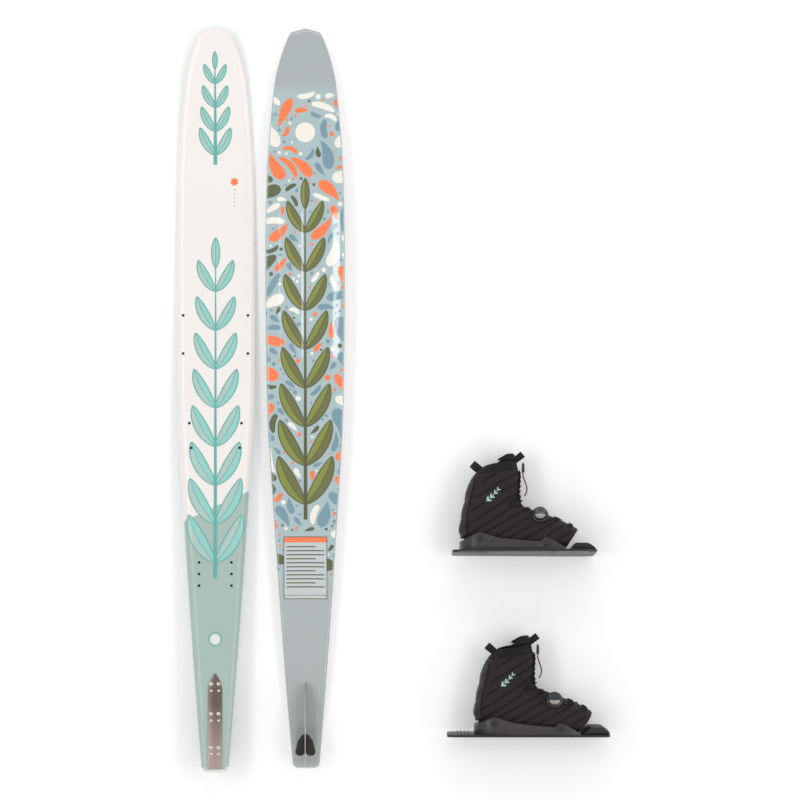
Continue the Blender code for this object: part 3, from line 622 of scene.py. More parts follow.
def scatterShapes(busy):
    # drops, beans and dots thrown at the base until they fill the room between the leaves
    rng = np.random.default_rng(scatter["seed"])
    cell, aside = scatter["cell"], scatter["widest"]
    taken = np.zeros((ceil(2 * aside / cell), ceil((scatter["high"] + 120) / cell)), bool)

    def covered(figure, clear):
        spine = np.array([(x, y, figure.half(share) + clear) for share, x, y, _ in figure.points])
        reach = spine[:, 2].max()
        i = np.arange(max(0, int((spine[:, 0].min() - reach + aside) / cell)),
                      min(taken.shape[0], int((spine[:, 0].max() + reach + aside) / cell) + 1))
        j = np.arange(max(0, int((spine[:, 1].min() - reach) / cell)),
                      min(taken.shape[1], int((spine[:, 1].max() + reach) / cell) + 1))
        x, y = (i * cell - aside)[:, None, None], (j * cell)[None, :, None]
        inner = ((x - spine[:, 0]) ** 2 + (y - spine[:, 1]) ** 2 <= spine[:, 2] ** 2).any(axis=2)
        return (slice(i[0], i[-1] + 1), slice(j[0], j[-1] + 1)), inner

    for figure in busy:
        where, inner = covered(figure, 0.0)
        taken[where] |= inner
    shapes = []
    for tries, kind, *sizes in scatter["kinds"]:
        for _ in range(tries):
            figure = scatterFigure(kind, rng, *sizes)
            colour = scatter["colours"][int(rng.integers(len(scatter["colours"])))]
            _, x, y, _ = figure.points[len(figure.points) // 2]
            if abs(x) > aside - 2 or not scatter["low"] < y < scatter["high"]:
                continue
            if taken[int((x + aside) / cell), int(y / cell)]:
                continue
            ys = [y for _, _, y, _ in figure.points]
            if min(ys) < scatter["low"] - 6 or max(ys) > scatter["high"] + 10:
                continue
            where, inner = covered(figure, scatter["dotsApart"] if kind == "dot" else scatter["apart"])
            if (taken[where] & inner).any():
                continue
            where, inner = covered(figure, 0.0)
            taken[where] |= inner
            shapes.append((colour, figure))
    return shapes


sticker = {"corners": (-49.0, 382.0, 48.0, 522.0), "head": 13, "line": 1.4, "pitch": 9, "bars": 11}
emblem = {"x": 0.0, "y": 1420.0, "radius": 22.0, "clear": 6.0}


def basePrint(place, body):
    point, done = basePoint, partial(printDone, body, "base", place)
    branch = branches["baseMiddle"]
    made = {"leaf": [], "streak": [], "line": []}
    printBranch("base", branch, point, -1, made)
    done("leaf_print", made["leaf"], "olive")
    done("streak_print", made["streak"], "oliveStreak")
    done("line_print", made["line"], "oliveLine")
    busy = branchLeaves(branch)
    busy += [Figure(0, y - 7, 0, 14, 14, 0, 0.5, 0.5) for y in steps(branch["foot"], branch["top"], 50)]
    reach = emblem["radius"] + emblem["clear"]
    busy.append(Figure(emblem["x"], emblem["y"] - reach, 0, 2 * reach, 2 * reach, 0, 0.5, 0.5))
    x0, y0, x1, y1 = sticker["corners"]
    busy += [Figure(x, y1 - 20, 0, 24, 24, 0, 0.5, 0.5) for x in steps(x0 + 8, x1 - 8, 8)]
    films = {}
    for colour, figure in scatterShapes(busy):
        films.setdefault(colour, []).append(film("scatter", figure, figure.low, figure.half, point, 0.1, -1,
                                                 scatter["pitch"], scatter["margin"]))
    films.setdefault("cream", []).append(disc("emblem", emblem["x"], emblem["y"], emblem["radius"], point, -1,
                                              0.1))
    for colour, pieces in films.items():
        done(colour + "_print", pieces, colour)

    def panel(x0, y0, x1, y1, lift):
        return grid("panel", steps(x0, x1, max(1, round((x1 - x0) / 4))),
                    steps(y0, y1, max(1, round((y1 - y0) / 8))), lambda u, v: point(-u, v, lift))

    done("label", [panel(x0, y0, x1, y1, 0.45)], "labelGrey")
    done("label_head", [panel(x0, y1 - sticker["head"], x1, y1, 0.55)], "coral")
    line, lift = sticker["line"], 0.6
    rules = [panel(x0, y0, x0 + line, y1, lift), panel(x1 - line, y0, x1, y1, lift),
             panel(x0, y0, x1, y0 + line, lift), panel(x0, y1 - line, x1, y1, lift),
             panel(x0, y0 + 8, x1, y0 + 9, lift)]
    rules += [panel(x0 + 6, y1 - 24 - sticker["pitch"] * k, x1 - (6 if k % 3 else 26),
                    y1 - 21.5 - sticker["pitch"] * k, lift) for k in range(sticker["bars"])]
    done("label_rules", rules, "oliveLine")


def laminate(name, low, high, gloss, place, middle=None):
    # printed laminate under a clear coat, its tone drifting slightly along the ski
    coat, coatRough = (1.0, 0.03) if gloss < 0.25 else (0.3, 0.1)
    made = Finish(name, Metallic=0.0, Coat_Weight=coat, Coat_Roughness=coatRough)
    spot = made.place(place)
    y = made.axes(spot)[1]
    drift = made.noise(spot, 7.0, 2.0) * 0.5 + (y * (1 / 1.65)).maths("MINIMUM", 1.0) * 0.5
    ground = made.mix(drift, low, high)
    if middle:
        ground = made.mix(((0.56 - (y - 0.97).maths("ABSOLUTE")) * 40).limited(), ground, middle)
    made.set(Base_Color=ground, Roughness=made.noise(spot, 60.0, 3.0) * 0.06 + gloss)
    return made.material


def cappedPins(name, spots, sides, radius, border, raised, socket, sunk, place):
    # short pins whose top face has a border, perhaps a raised middle, and a socket
    pins = []
    for spot, size in spots:
        selectOnly()
        bpy.ops.mesh.primitive_cylinder_add(vertices=sides, radius=radius * size, depth=1.6, location=spot)
        pin = bpy.context.object
        bpy.ops.object.mode_set(mode="EDIT")
        work = bmesh.from_edit_mesh(pin.data)
        for face in work.faces:
            face.select_set(face.normal.z > 0.9)
        bmesh.update_edit_mesh(pin.data)
        bpy.ops.mesh.inset(thickness=border * size)
        if raised:
            bpy.ops.transform.translate(value=(0, 0, raised))
            bpy.ops.mesh.inset(thickness=socket * size)
        bpy.ops.mesh.extrude_region_move(TRANSFORM_OT_translate={"value": (0, 0, -sunk)})
        bpy.ops.object.mode_set(mode="OBJECT")
        pin.data.transform(pin.matrix_world)
        pin.matrix_world = Matrix.Identity(4)
        pins.append(pin)
    return put(rounded(joined(name, pins)), place)


insertRing = {"sides": 20, "radius": 3.0, "border": 0.55, "raised": 0.0, "socket": 0.0, "sunk": 0.12}
finScrew = {"sides": 24, "radius": 1.0, "border": 0.22, "raised": 0.35, "socket": 0.3, "sunk": 0.9}
finScrews = {"rows": [196, 181, 130, 115, 55, 41], "aside": 8.2, "sizes": (3.9, 2.7), "lift": 3.1}


def insertRings(prefix, place, body):
    spots = [(deckPoint(hand * x, y), 1.0) for y, x in ski["inserts"] for hand in (-1, 1)]
    piece = cappedPins(prefix + "_insert_rings", spots, place=place, **insertRing)
    finish(piece, skins["insert"], body, "insert_alloy")


def finScrewSet(prefix, place, body):
    spots = [((hand * finScrews["aside"], y, deckHeight(y) + finScrews["lift"]), finScrews["sizes"][n % 2])
             for n, y in enumerate(finScrews["rows"]) for hand in (-1, 1)]
    piece = cappedPins(prefix + "_fin_screws", spots, place=place, **finScrew)
    finish(piece, skins["screw"], body, "brushed_steel")


def brushed(name, low, high, place, span):
    # steel brushed across the ski, its tone running from low to high along span
    made = Finish(name, Metallic=1.0)
    spot = made.place(place)
    y = made.axes(spot)[1]
    streaks = made.node("Mapping", Vector=spot, Scale=(40.0, 2600.0, 40.0))
    grain = made.noise(streaks, 1.0, 3.0)
    along = ((y - span[0] * mm) * (1 / (span[1] * mm - span[0] * mm))).limited()
    made.set(Base_Color=made.mix(along * 0.85 + grain * 0.15, low, high), Roughness=grain * 0.16 + 0.26)
    return made.bump(grain, 0.12, 0.0002).material


metal = {"scales": (22.0, 380.0), "detail": (3.0, 3.0), "spread": (0.86, 1.12), "roughSpan": 0.12,
         "strength": 0.15, "depth": 0.0002}
skins = {
    "insert": grained("insert_black", (0.012, 0.012, 0.012), 0.34, Metallic=0.6, **metal),
    "screw": grained("screw_steel", (0.75, 0.70, 0.66), 0.16, Metallic=1.0, **metal),
    "wing": grained("wing_black", tone(30, 24, 22), 0.29, **metal),
}


def dressed(node, material):
    # a CAD part that stays as it is, inside the item
    frame["nodes"][node].data.materials.clear()
    frame["nodes"][node].data.materials.append(material)


def makeSki(side):
    prefix = side + "_ski"
    place = skiFrame(side)
    deckTones = (238, 231, 228), (243, 238, 233)
    if side == "right":
        deckTones = (240, 234, 231), (240, 234, 231)
    deckFinish = laminate(prefix + "_deck_laminate", *(tone(*t) for t in deckTones), 0.28, place)
    baseFinish = laminate(prefix + "_base_laminate", tone(176, 183, 183), tone(166, 174, 176), 0.12, place,
                          tone(170, 191, 194))
    finish(skiSkin(prefix + "_deck", deckPoint, place, False), deckFinish, prefix, "deck_laminate",
           [prefix + "_top_skin"])
    finish(skiSkin(prefix + "_base", basePoint, place, True), baseFinish, prefix, "base_laminate",
           [prefix + "_base_skin"])
    if side == "left":
        deckPrint(place, prefix)
    else:
        basePrint(place, prefix)
    insertRings(prefix, place, prefix)
    steel = brushed(prefix + "_plate_steel", tone(196, 178, 170), tone(108, 96, 88), place, (20, 150))
    finish(refined(prefix + "_fin_frame", prefix + "_fin_plate", 0.6), steel, prefix, "brushed_steel",
           [prefix + "_fin_frame"])
    finScrewSet(prefix, place, prefix)
    alloy = brushed(prefix + "_fin_alloy", tone(214, 208, 202), tone(168, 164, 160), place, (0, 200))
    finish(refined(prefix + "_fin", prefix + "_fin_blade", 0.35), alloy, side + "_fin", "fin_alloy",
           [prefix + "_fin"])
    finish(refined(prefix + "_wing", prefix + "_fin_wing", 0.5), skins["wing"], side + "_wing", "wing_black",
           [prefix + "_wing"])
    foam = Finish(prefix + "_foam", Roughness=0.9)
    foam.set(Base_Color=foam.mix(foam.noise(foam.place(), 900.0), tone(222, 214, 186), tone(236, 230, 206)))
    dressed(prefix + "_core", foam.material)
    insertAlloy = brushed(prefix + "_insert_alloy", (0.5, 0.5, 0.5), (0.6, 0.6, 0.6), place, (400, 1000))
    dressed(prefix + "_insert_plate", insertAlloy)
    print("made", prefix)


for side in ("left", "right"):
    makeSki(side)


# Boots

boot = {
    # back edge along and up, front edge along and up, half width, from the toe ring to the cuff
    "rings": [(250, 10, 279, 53, 50.0), (222, 10, 257, 66, 52.0), (190, 10, 228, 79, 51.0),
              (155, 10, 199, 91, 48.0), (118, 10, 175, 100, 44.0), (82, 11, 159, 107, 41.0),
              (48, 15, 153, 116, 39.5), (28, 28, 150, 128, 40.0), (18.5, 47, 149.5, 140, 41.5),
              (20, 68, 150, 152, 43.5), (24.5, 92, 150.3, 163, 46.0), (30, 118, 150.6, 173, 48.5),
              (36.5, 144, 149, 181, 50.5), (45, 170, 147, 186.5, 52.0), (66, 192, 143, 206, 47.0),
              (76, 207, 139, 223, 43.0)],
    "roundness": 2.25, "throat": [(0, 13), (5, 18), (13, 20), (15, 22)],
    "cuff": 13.0, "collar": 14.0, "tongueTop": 15.0,
    "dialLean": radians(20), "bolts": [(61.0, 32.0), (206.0, 20.5)],
    "side": [(60, 44), (100, 47), (150, 52), (200, 56), (248, 57.5)],
}
ringsKnown = {}


def ringFrame(ring):
    ring = min(max(ring, 0), len(boot["rings"]) - 1)
    if ring not in ringsKnown:
        bx, bz, fx, fz, width = (through([(i, r[k]) for i, r in enumerate(boot["rings"])], ring)
                                 for k in range(5))
        half = hypot(fx - bx, fz - bz) / 2
        ringsKnown[ring] = ((bx + fx) / 2, (bz + fz) / 2, (fx - bx) / 2 / half, (fz - bz) / 2 / half, half,
                            width,
                            asin((through(boot["throat"], ring) / width) ** (boot["roundness"] / 2)))
    return ringsKnown[ring]


def ringPoint(ring, angle, offset):
    # angle 0 is the instep or shin, half a turn the sole or heel
    x, z, ax, az, half, width, _ = ringFrame(ring)
    squared = boot["roundness"] + 0.8 * max(0.0, 1 - ring / 7) * (cos(angle) < 0)
    along = copysign(abs(cos(angle)) ** (2 / squared), cos(angle)) * (half + offset)
    across = copysign(abs(sin(angle)) ** (2 / squared), sin(angle)) * (width + offset)
    return (x + ax * along, across, z + az * along)


def throatAngle(ring):
    return ringFrame(ring)[6]


def smoothStep(value):
    value = min(1.0, max(0.0, value))
    return value * value * (3 - 2 * value)


def flag(piece, name, values):
    piece.data.attributes.new(name, "FLOAT", "POINT").data.foreach_set("value", values)


def cushion(name, us, vs, form, thick, edge, reach, sewn=lambda u, v: False):
    # two faces that meet in a seam at the border; edge(u, v) is the way to the border in millimetres,
    # and sewn(u, v) says where the filling can't lift the cover
    def swell(u, v):
        return sqrt(max(0.0, 1 - (1 - min(1.0, edge(u, v) / reach)) ** 2)) * thick(u, v) / 2
    outer = grid(name + "_outer", us, vs, lambda u, v: form(u, v, swell(u, v)))
    inner = grid(name + "_inner", us, vs, lambda u, v: form(u, v, -swell(u, v)))
    columns, rows = len(us) - 1, len(vs) - 1
    held = [float(edge(us[i], vs[j]) < 1.5 or sewn(us[i], vs[j]))
            for j in range(rows + 1) for i in range(columns + 1)]
    for half in (outer, inner):
        flag(half, "held", held)
    piece = joined(name, [outer, inner])
    return rounded(outward(merged(piece, 0.002)), 70)


filling = {"frames": 14, "pressure": 4.0, "quality": 4, "mass": 0.25, "stiffness": 12.0, "bending": 0.4}


def filled(piece, most):
    # a short cloth simulation swells the padding between its seams, by at most that many millimetres
    before = np.zeros(len(piece.data.vertices) * 3)
    piece.data.vertices.foreach_get("co", before)
    held = np.zeros(len(piece.data.vertices))
    piece.data.attributes["held"].data.foreach_get("value", held)
    pins = piece.vertex_groups.new(name="seams")
    pins.add([int(i) for i in np.flatnonzero(held > 0.5)], 1.0, "REPLACE")
    cloth = piece.modifiers.new("filling", "CLOTH")
    cloth.settings.quality = filling["quality"]
    cloth.settings.mass = filling["mass"]
    cloth.settings.tension_stiffness = cloth.settings.compression_stiffness = filling["stiffness"]
    cloth.settings.bending_stiffness = filling["bending"]
    cloth.settings.use_pressure = True
    cloth.settings.uniform_pressure_force = filling["pressure"]
    cloth.settings.vertex_group_mass = "seams"
    cloth.settings.effector_weights.gravity = 0.0
    cloth.point_cache.frame_end = filling["frames"]
    for at in range(1, filling["frames"] + 1):
        bpy.context.scene.frame_set(at)
    selectOnly(piece)
    bpy.ops.object.modifier_apply(modifier=cloth.name)
    bpy.context.scene.frame_set(1)
    piece.vertex_groups.clear()
    after = np.zeros(len(before))
    piece.data.vertices.foreach_get("co", after)
    before, after = before.reshape(-1, 3), after.reshape(-1, 3)
    way = after - before
    length = np.linalg.norm(way, axis=1, keepdims=True)
    share = np.minimum(1.0, most * mm / np.maximum(length, 1e-9))
    print("filled", piece.name, "moved at most", round(float(length.max()) / mm, 2), "mm")
    piece.data.vertices.foreach_set("co", (before + way * share).ravel())
    piece.data.update()
    return piece


def turnedPiece(name, start, out, profile, sides, wave=lambda angle, along: 0.0):
    # a profile of (distance along out, radius) turned round the line from start
    side = out.orthogonal().normalized()
    other = out.cross(side)

    def form(angle, k):
        along, radius = profile[k]
        radius = max(0.0, radius + (wave(angle, along) if radius > 0.01 else 0.0))
        return start + out * along + (side * cos(angle) + other * sin(angle)) * radius

    return outward(rounded(grid(name, steps(0, 2 * pi, sides), list(range(len(profile))), form, closed=True), 35))


def tube(name, points, radius, sides=10):
    points = [Vector(p) for p in points]
    last = len(points) - 1
    side = Vector((0, 0, 1)).cross(points[1] - points[0]).normalized()
    frames = []
    for k, p in enumerate(points):
        ahead = (points[min(k + 1, last)] - points[max(k - 1, 0)]).normalized()
        side = (side - ahead * side.dot(ahead)).normalized()
        frames.append((p, side.copy(), ahead.cross(side)))
    rows = [0] + list(range(len(points))) + [last]
    shrink = [0.0] + [1.0] * len(points) + [0.0]

    def form(angle, k):
        p, a, b = frames[rows[k]]
        return p + (a * cos(angle) + b * sin(angle)) * radius * shrink[k]

    return outward(rounded(grid(name, steps(0, 2 * pi, sides), list(range(len(rows))), form, closed=True), 50))


def curveThrough(knots, count):
    # evenly stepped points of a smooth line through knots
    at = steps(0, len(knots) - 1, count)
    lines = [[(i, k[axis]) for i, k in enumerate(knots)] for axis in range(len(knots[0]))]
    return [tuple(through(line, t) for line in lines) for t in at]


webbing = {
    "heel": {"foot": (67, 0, 181), "lean": radians(-49), "height": 28, "halfSpan": 17, "halfWidth": 8.5,
             "thick": 2.6},
    "shin": {"foot": (138, 0, 206), "lean": radians(52), "height": 24, "halfSpan": 9, "halfWidth": 7.5,
             "thick": 2.4},
}


def archStrap(name, foot, lean, height, halfSpan, halfWidth, thick):
    # a webbing loop sewn down on both sides of the boot, leaning by lean in its middle plane
    rise = Vector((sin(lean), 0, cos(lean)))
    aside = Vector((cos(lean), 0, -sin(lean)))
    count = 48

    def form(u, k):
        turn = pi * k / count
        return (Vector(foot) + rise * (height * sin(turn) ** 0.75) + Vector((0, -halfSpan * cos(turn), 0))
                + aside * (u * halfWidth * (0.86 + 0.14 * sin(turn))))

    piece = grid(name, [-1, -0.94, -0.6, -0.2, 0.2, 0.6, 0.94, 1], list(range(count + 1)), form)
    apply(piece, "SOLIDIFY", thickness=thick, offset=0.0)
    apply(piece, "BEVEL", width=thick * 0.3, segments=2, limit_method="ANGLE", angle_limit=radians(50))
    return outward(rounded(piece, 45))


def stitches(name, places, size=(2.6, 0.75, 0.6)):
    # one short thread at each place, given as a point, the way it lies and the way it faces
    selectOnly()
    bpy.ops.mesh.primitive_uv_sphere_add(segments=8, ring_count=5, radius=0.5)
    thread = bpy.context.object
    thread.scale = size
    bpy.ops.object.transform_apply(location=False, rotation=False, scale=True)
    made = bmesh.new()
    for spot, along, out in places:
        along = Vector(along).normalized()
        out = (Vector(out) - along * Vector(out).dot(along)).normalized()
        turn = Matrix((along, out.cross(along), out)).transposed().to_4x4()
        turn.translation = Vector(spot)
        before = len(made.verts)
        made.from_mesh(thread.data)
        made.verts.ensure_lookup_table()
        bmesh.ops.transform(made, matrix=turn, verts=made.verts[before:])
    made.to_mesh(thread.data)
    made.free()
    return rounded(named(name), 60)


def ringStitches(line, pitch, offset):
    # stitches along a line of (ring, angle) knots on the boot
    points = [Vector(ringPoint(r, a, offset)) for r, a in line]
    places, travelled = [], pitch
    for k in range(1, len(points) - 1):
        travelled += (points[k] - points[k - 1]).length
        if travelled >= pitch:
            travelled = 0.0
            r, a = line[k]
            places.append((points[k], points[k + 1] - points[k - 1],
                           Vector(ringPoint(r, a, offset + 5)) - points[k]))
    return places


quilt = {
    # lines stitched down into the upper, from and to, along the boot and up
    "lines": [((64, 152), (98, 175)), ((55, 122), (146, 178)), ((112, 136), (146, 157)), ((45, 93), (71, 109)),
              ((17, 49), (146, 133)), ((22, 28), (121, 93)), ((73, 43), (171, 102)), ((98, 34), (167, 78)),
              ((126, 30), (180, 64)), ((158, 27), (230, 71)), ((210, 37), (253, 64)), ((236, 28), (261, 46)),
              ((130, 103), (147, 127)), ((130, 103), (156, 105)), ((40, 150), (44, 153))],
    "half": 2.4, "depth": 1.7, "fold": 3.0, "puff": 0.4,
}


def quiltDistance(x, z):
    nearest = 99.0
    for (ax, az), (bx, bz) in quilt["lines"]:
        dx, dz = bx - ax, bz - az
        t = min(1.0, max(0.0, ((x - ax) * dx + (z - az) * dz) / (dx * dx + dz * dz)))
        nearest = min(nearest, hypot(x - ax - dx * t, z - az - dz * t))
    return nearest


def upperPiece(prefix, place, body):
    fine = 1.0
    near = [0.0, 0.0014, 0.003, 0.006, 0.01]
    us = near + steps(0.014, 0.986, round(230 * fine)) + [1 - u for u in near[::-1]]
    rings = [0.0, 0.02, 0.05, 0.1] + steps(0.15, 12.78, round(215 * fine)) + [12.85, 12.91, 12.96, 13.0]
    grooves = []

    def form(u, ring):
        low = throatAngle(ring)
        angle = low + (2 * pi - 2 * low) * u
        x, y, z = ringPoint(ring, angle, 0)
        away = quiltDistance(x, z)
        dip = smoothStep(1.5 - away / quilt["half"])
        puff = quilt["puff"] * (1 - smoothStep(1.0 - (away - 2) / 9.0))
        edge = min(min(u, 1 - u) * 300, (boot["cuff"] - ring) * 14, ring * 26)
        fold = quilt["fold"] * (1 - min(1.0, edge / 3.0)) ** 2
        grooves.append(dip)
        return ringPoint(ring, angle, puff * (1 - fold / 3) - dip * quilt["depth"] - fold)

    upper = grid(prefix + "_upper_fabric", us, rings, form)
    # the groove attribute marks the stitched grooves, where the shell fabric's colour gets painted shade
    flag(upper, "groove", grooves)
    return rounded(outward(upper), 70)


def linerPiece(prefix):
    rings = steps(0.6, 12.4, 46) + steps(12.6, 14.0, 22)
    us = [(1 - cos(pi * s)) / 2 * 0.35 + s * 0.65 for s in steps(0, 1, 130)]

    def form(u, ring, off):
        low = throatAngle(ring) + radians(3)
        roll = smoothStep((ring - 12.7) / 0.5)
        return ringPoint(ring, low + (2 * pi - 2 * low) * u, -7.0 + roll * 1.2 + off)

    return cushion(prefix + "_liner_padding", us, rings, form,
                   lambda u, ring: 5.4 + 4.4 * smoothStep((ring - 12.6) / 0.5),
                   lambda u, ring: min(min(u, 1 - u) * 300, (boot["collar"] + 0.04 - ring) * 17,
                                       (ring - 0.6) * 22), 5.0, lambda u, ring: ring < 12.8)


def tonguePiece(prefix):
    rings = steps(0.4, 14.0, 150) + steps(14.04, boot["tongueTop"], 34)
    us = [sin(pi / 2 * s) * 0.5 + s * 0.5 for s in steps(-1, 1, 54)]

    def half(ring):
        narrow = throatAngle(ring) - radians(2.5)
        wide = radians(100) * (1 - 0.36 * max(0.0, (ring - 14.25) / 0.75) ** 2.5)
        return narrow + (wide - narrow) * smoothStep((ring - 14.06) / 0.24)

    def ribbed(ring):
        return smoothStep(1.5 - abs((ring * 1.3) % 1 - 0.5) / 0.09) * (ring < 12.6)

    def form(u, ring, off):
        rib = 1.1 * ribbed(ring) * (off > 0)
        deep = -3.4 - 1.2 * smoothStep((ring - 13.6) / 0.4)
        return ringPoint(ring, u * half(ring), deep + off - rib)

    return cushion(prefix + "_tongue_padding", us, rings, form,
                   lambda u, ring: 4.2 + 1.6 * smoothStep((ring - 5) / 1.5) + 2.6 * smoothStep((ring - 14.0) / 0.4),
                   lambda u, ring: min((1 - abs(u)) * half(ring) * 44, (boot["tongueTop"] - ring) * 15,
                                       (ring - 0.4) * 26), 5.0, lambda u, ring: ribbed(ring) > 0.5)


soleKnown = {}


def soleHalf(x):
    key = round(x)
    if key not in soleKnown:
        reach = [abs(p[1]) for r in steps(0, 8, 48) for a in steps(pi / 2, pi, 40)
                 for p in [ringPoint(r, a, -10.6)] if abs(p[0] - key) < 5 and 12 < p[2] < 24]
        soleKnown[key] = max(reach) if reach else 0.0
    return soleKnown[key]


footbed = {"back": 50, "front": 232, "middle": 18.5, "thick": 9.5, "rise": 2.2, "gap": 1.0}


def footbedPiece(prefix):
    back, front = footbed["back"], footbed["front"]

    def form(u, x, off):
        cupped = footbed["rise"] * smoothStep(abs(u) * 1.6 - 0.9)
        return (x, u * (soleHalf(x) - footbed["gap"]), footbed["middle"] + off + cupped)
    us = [sin(pi / 2 * s) for s in steps(-1, 1, 30)]
    return cushion(prefix + "_footbed_padding", us, steps(back, front, 70), form, lambda u, x: footbed["thick"],
                   lambda u, x: min((1 - abs(u)) * 38, x - back, front - x), 5.0)


toePad = {"back": 254, "front": 315.5, "half": 46.0, "foot": 5.4, "low": 5.3, "rise": 16.2, "fall": 9.5}


def toePadPiece(prefix):
    back, front = toePad["back"], toePad["front"]

    def form(u, x, off):
        lean = smoothStep((x - 252) / 22)
        top = toePad["low"] + toePad["rise"] * lean - toePad["fall"] * smoothStep((x - 290) / 26) ** 2
        half = toePad["half"] - 5.0 * (max(0.0, x - 285) / 31) ** 2
        return (x, u * half, toePad["foot"] + (top - toePad["foot"]) * (0.5 + off / 2))
    us = [sin(pi / 2 * s) for s in steps(-1, 1, 40)]
    return cushion(prefix + "_toe_padding", us, steps(back, front, 40), form, lambda u, x: 2.0,
                   lambda u, x: min((1 - abs(u)) * toePad["half"], x - back, front - x), 4.0)


def dialParts(prefix, side, place):
    out = Vector((0, -cos(boot["dialLean"]), sin(boot["dialLean"])))
    face = Vector(dialFace)
    base = turnedPiece(prefix + "_dial_rim", face, out, [
        (-12, 0), (-12, 18.4), (-4, 18.8), (-2.2, 18.5), (-0.8, 17.4), (-0.1, 16.2), (-0.1, 0)], 64)
    finish(put(base, place), skins["dialBlack"], prefix, "dial_black", [prefix + "_dial_base"])
    grip = lambda angle, along: 0.42 * max(-1, min(1, 2.2 * cos(30 * angle))) if 1 < along < 9.6 else 0.0
    knob = turnedPiece(prefix + "_dial_grip", face, out, [
        (0.4, 0), (0.4, 13.2), (1.1, 14.2), (2, 14.5), (5, 14.5), (8, 14.5), (9.4, 14.3), (10.4, 13.7), (11.0, 12.9),
        (11.2, 12.4), (10.9, 11.9), (10.9, 8), (11.0, 4), (11.0, 0)], 240, grip)
    # the lid is part bright metal, part black, split across its middle
    lid = Finish(prefix + "_dial_lid", Coat_Weight=0.6, Coat_Roughness=0.05)
    x, y, z = lid.axes(lid.place(place))
    split = ((z - face.z * mm) * -1 - 0.0005).above(0.0)
    away = ((x - face.x * mm).power(2.0) + (z - face.z * mm).power(2.0)).maths("SQRT")
    inner = away.below(11.6 * mm) * (y * -1).above(0.0)
    bright = split * inner
    lid.set(Base_Color=lid.mix(bright, tone(20, 18, 18), tone(150, 146, 143)), Metallic=bright * 0.9,
            Roughness=bright * 0.1 + 0.25)
    finish(put(knob, place), lid.material, side + "_dial_knob", "dial_metal", [prefix + "_dial_knob"])


def bootBolts(prefix, place):
    made, replaced = [], []
    for n, (x, z) in enumerate(boot["bolts"]):
        for hand, way in (("dial_side", -1), ("far_side", 1)):
            wall = through(boot["side"], x + 7) + 0.3
            made.append(turnedPiece("bolt", Vector((x, way * wall, z)), Vector((0, way, 0)), [
                (-5, 0), (-5, 2.4), (0, 2.4), (0, 6.7), (1.9, 6.8), (2.9, 6.2), (3.4, 5.0), (3.4, 3.1), (1.6, 2.9),
                (1.6, 0)], 36))
            replaced.append(f"{prefix}_{('heel', 'toe')[n]}_bolt_{hand}")
    finish(put(joined(prefix + "_bolt_heads", made), place), skins["boltSteel"], prefix, "bolt_steel", replaced)


laces = {
    "low": 5.9, "high": 12.5, "crossings": 7, "sway": 15.8, "lift": 2.2, "radius": 1.35,
    "tail": [(157.5, 3.4, 180), (159, 3.6, 170), (163, 4.4, 158), (166.5, 3.0, 146), (165, -2.0, 136),
             (161, -4.0, 128)],
    "tailRadius": 1.3,
    # ring and degrees from the instep
    "cable": [(2.3, -50), (2.1, -42), (1.85, -34), (1.6, -14), (1.45, 14), (1.2, 30), (0.95, 30), (0.8, 14),
              (0.7, -14), (0.6, -30), (0.8, -40), (1.1, -38)],
    "cableLift": 1.9, "cableRadius": 1.1,
}


def laceParts(prefix, side, place):
    lace = []
    for share in steps(0, 1, 170):
        ring = laces["low"] + (laces["high"] - laces["low"]) * share
        sway = sin(pi * share * laces["crossings"])
        sway = copysign(abs(sway) ** 0.75, sway) * laces["sway"]
        angle = copysign(asin((abs(sway) / ringFrame(ring)[5]) ** (boot["roundness"] / 2)), sway)
        lace.append(ringPoint(ring, angle, laces["lift"]))
    second = [(x, -y, z) for x, y, z in lace]
    strands = [tube("lace", lace, laces["radius"]), tube("lace", second, laces["radius"]),
               tube("lace", curveThrough(laces["tail"], 50), laces["tailRadius"])]
    finish(put(joined(prefix + "_elastic_lace", strands), place), skins["cord"], side + "_tongue", "cord",
           [prefix + "_ankle_lace"])
    cable = [ringPoint(r, radians(a), laces["cableLift"]) for r, a in curveThrough(laces["cable"], 150)]
    finish(put(tube(prefix + "_instep_lace", cable, laces["cableRadius"]), place), skins["cord"], prefix, "cord",
           [prefix + "_instep_cable"])


def guideParts(prefix, place):
    guides, seams = [], []
    for ring in (0.8, 1.9, 3.1, 4.3):
        for hand in (-1, 1):
            rows = steps(ring - 0.2, ring + 0.2, 6)

            def form(share, r):
                low = throatAngle(r)
                angle = low - radians(1.5) + radians(17) * share
                arch = sin(pi * min(1.0, share * 1.5)) ** 0.7 * (share < 0.67)
                return ringPoint(r, hand * angle, 0.9 + 2.4 * arch)
            strap = grid("guide", steps(0, 1, 14), rows, form)
            if hand < 0:
                outward(strap)
            apply(strap, "SOLIDIFY", thickness=1.1, offset=0.0)
            guides.append(outward(rounded(strap, 45)))
            for shift in (-0.13, 0.13):
                line = [(ring + shift, hand * (throatAngle(ring) + radians(a))) for a in steps(11, 16, 14)]
                seams += ringStitches(line, 2.6, 1.6)
    finish(put(joined(prefix + "_lace_guides", guides), place), skins["webbing"], prefix, "webbing")
    cuff = [(12.62, a) for a in steps(throatAngle(12.6) + 0.12, 2 * pi - throatAngle(12.6) - 0.12, 700)]
    seams += ringStitches(cuff, 4.2, 0.3)
    for hand in (-1, 1):
        throat = [(r, hand * (throatAngle(r) + radians(7 if r > 4 else 5.5))) for r in steps(0.4, 12.5, 900)]
        seams += ringStitches(throat, 4.2, 0.3)
    finish(put(stitches(prefix + "_stitching", seams), place), skins["thread"], prefix, "webbing")


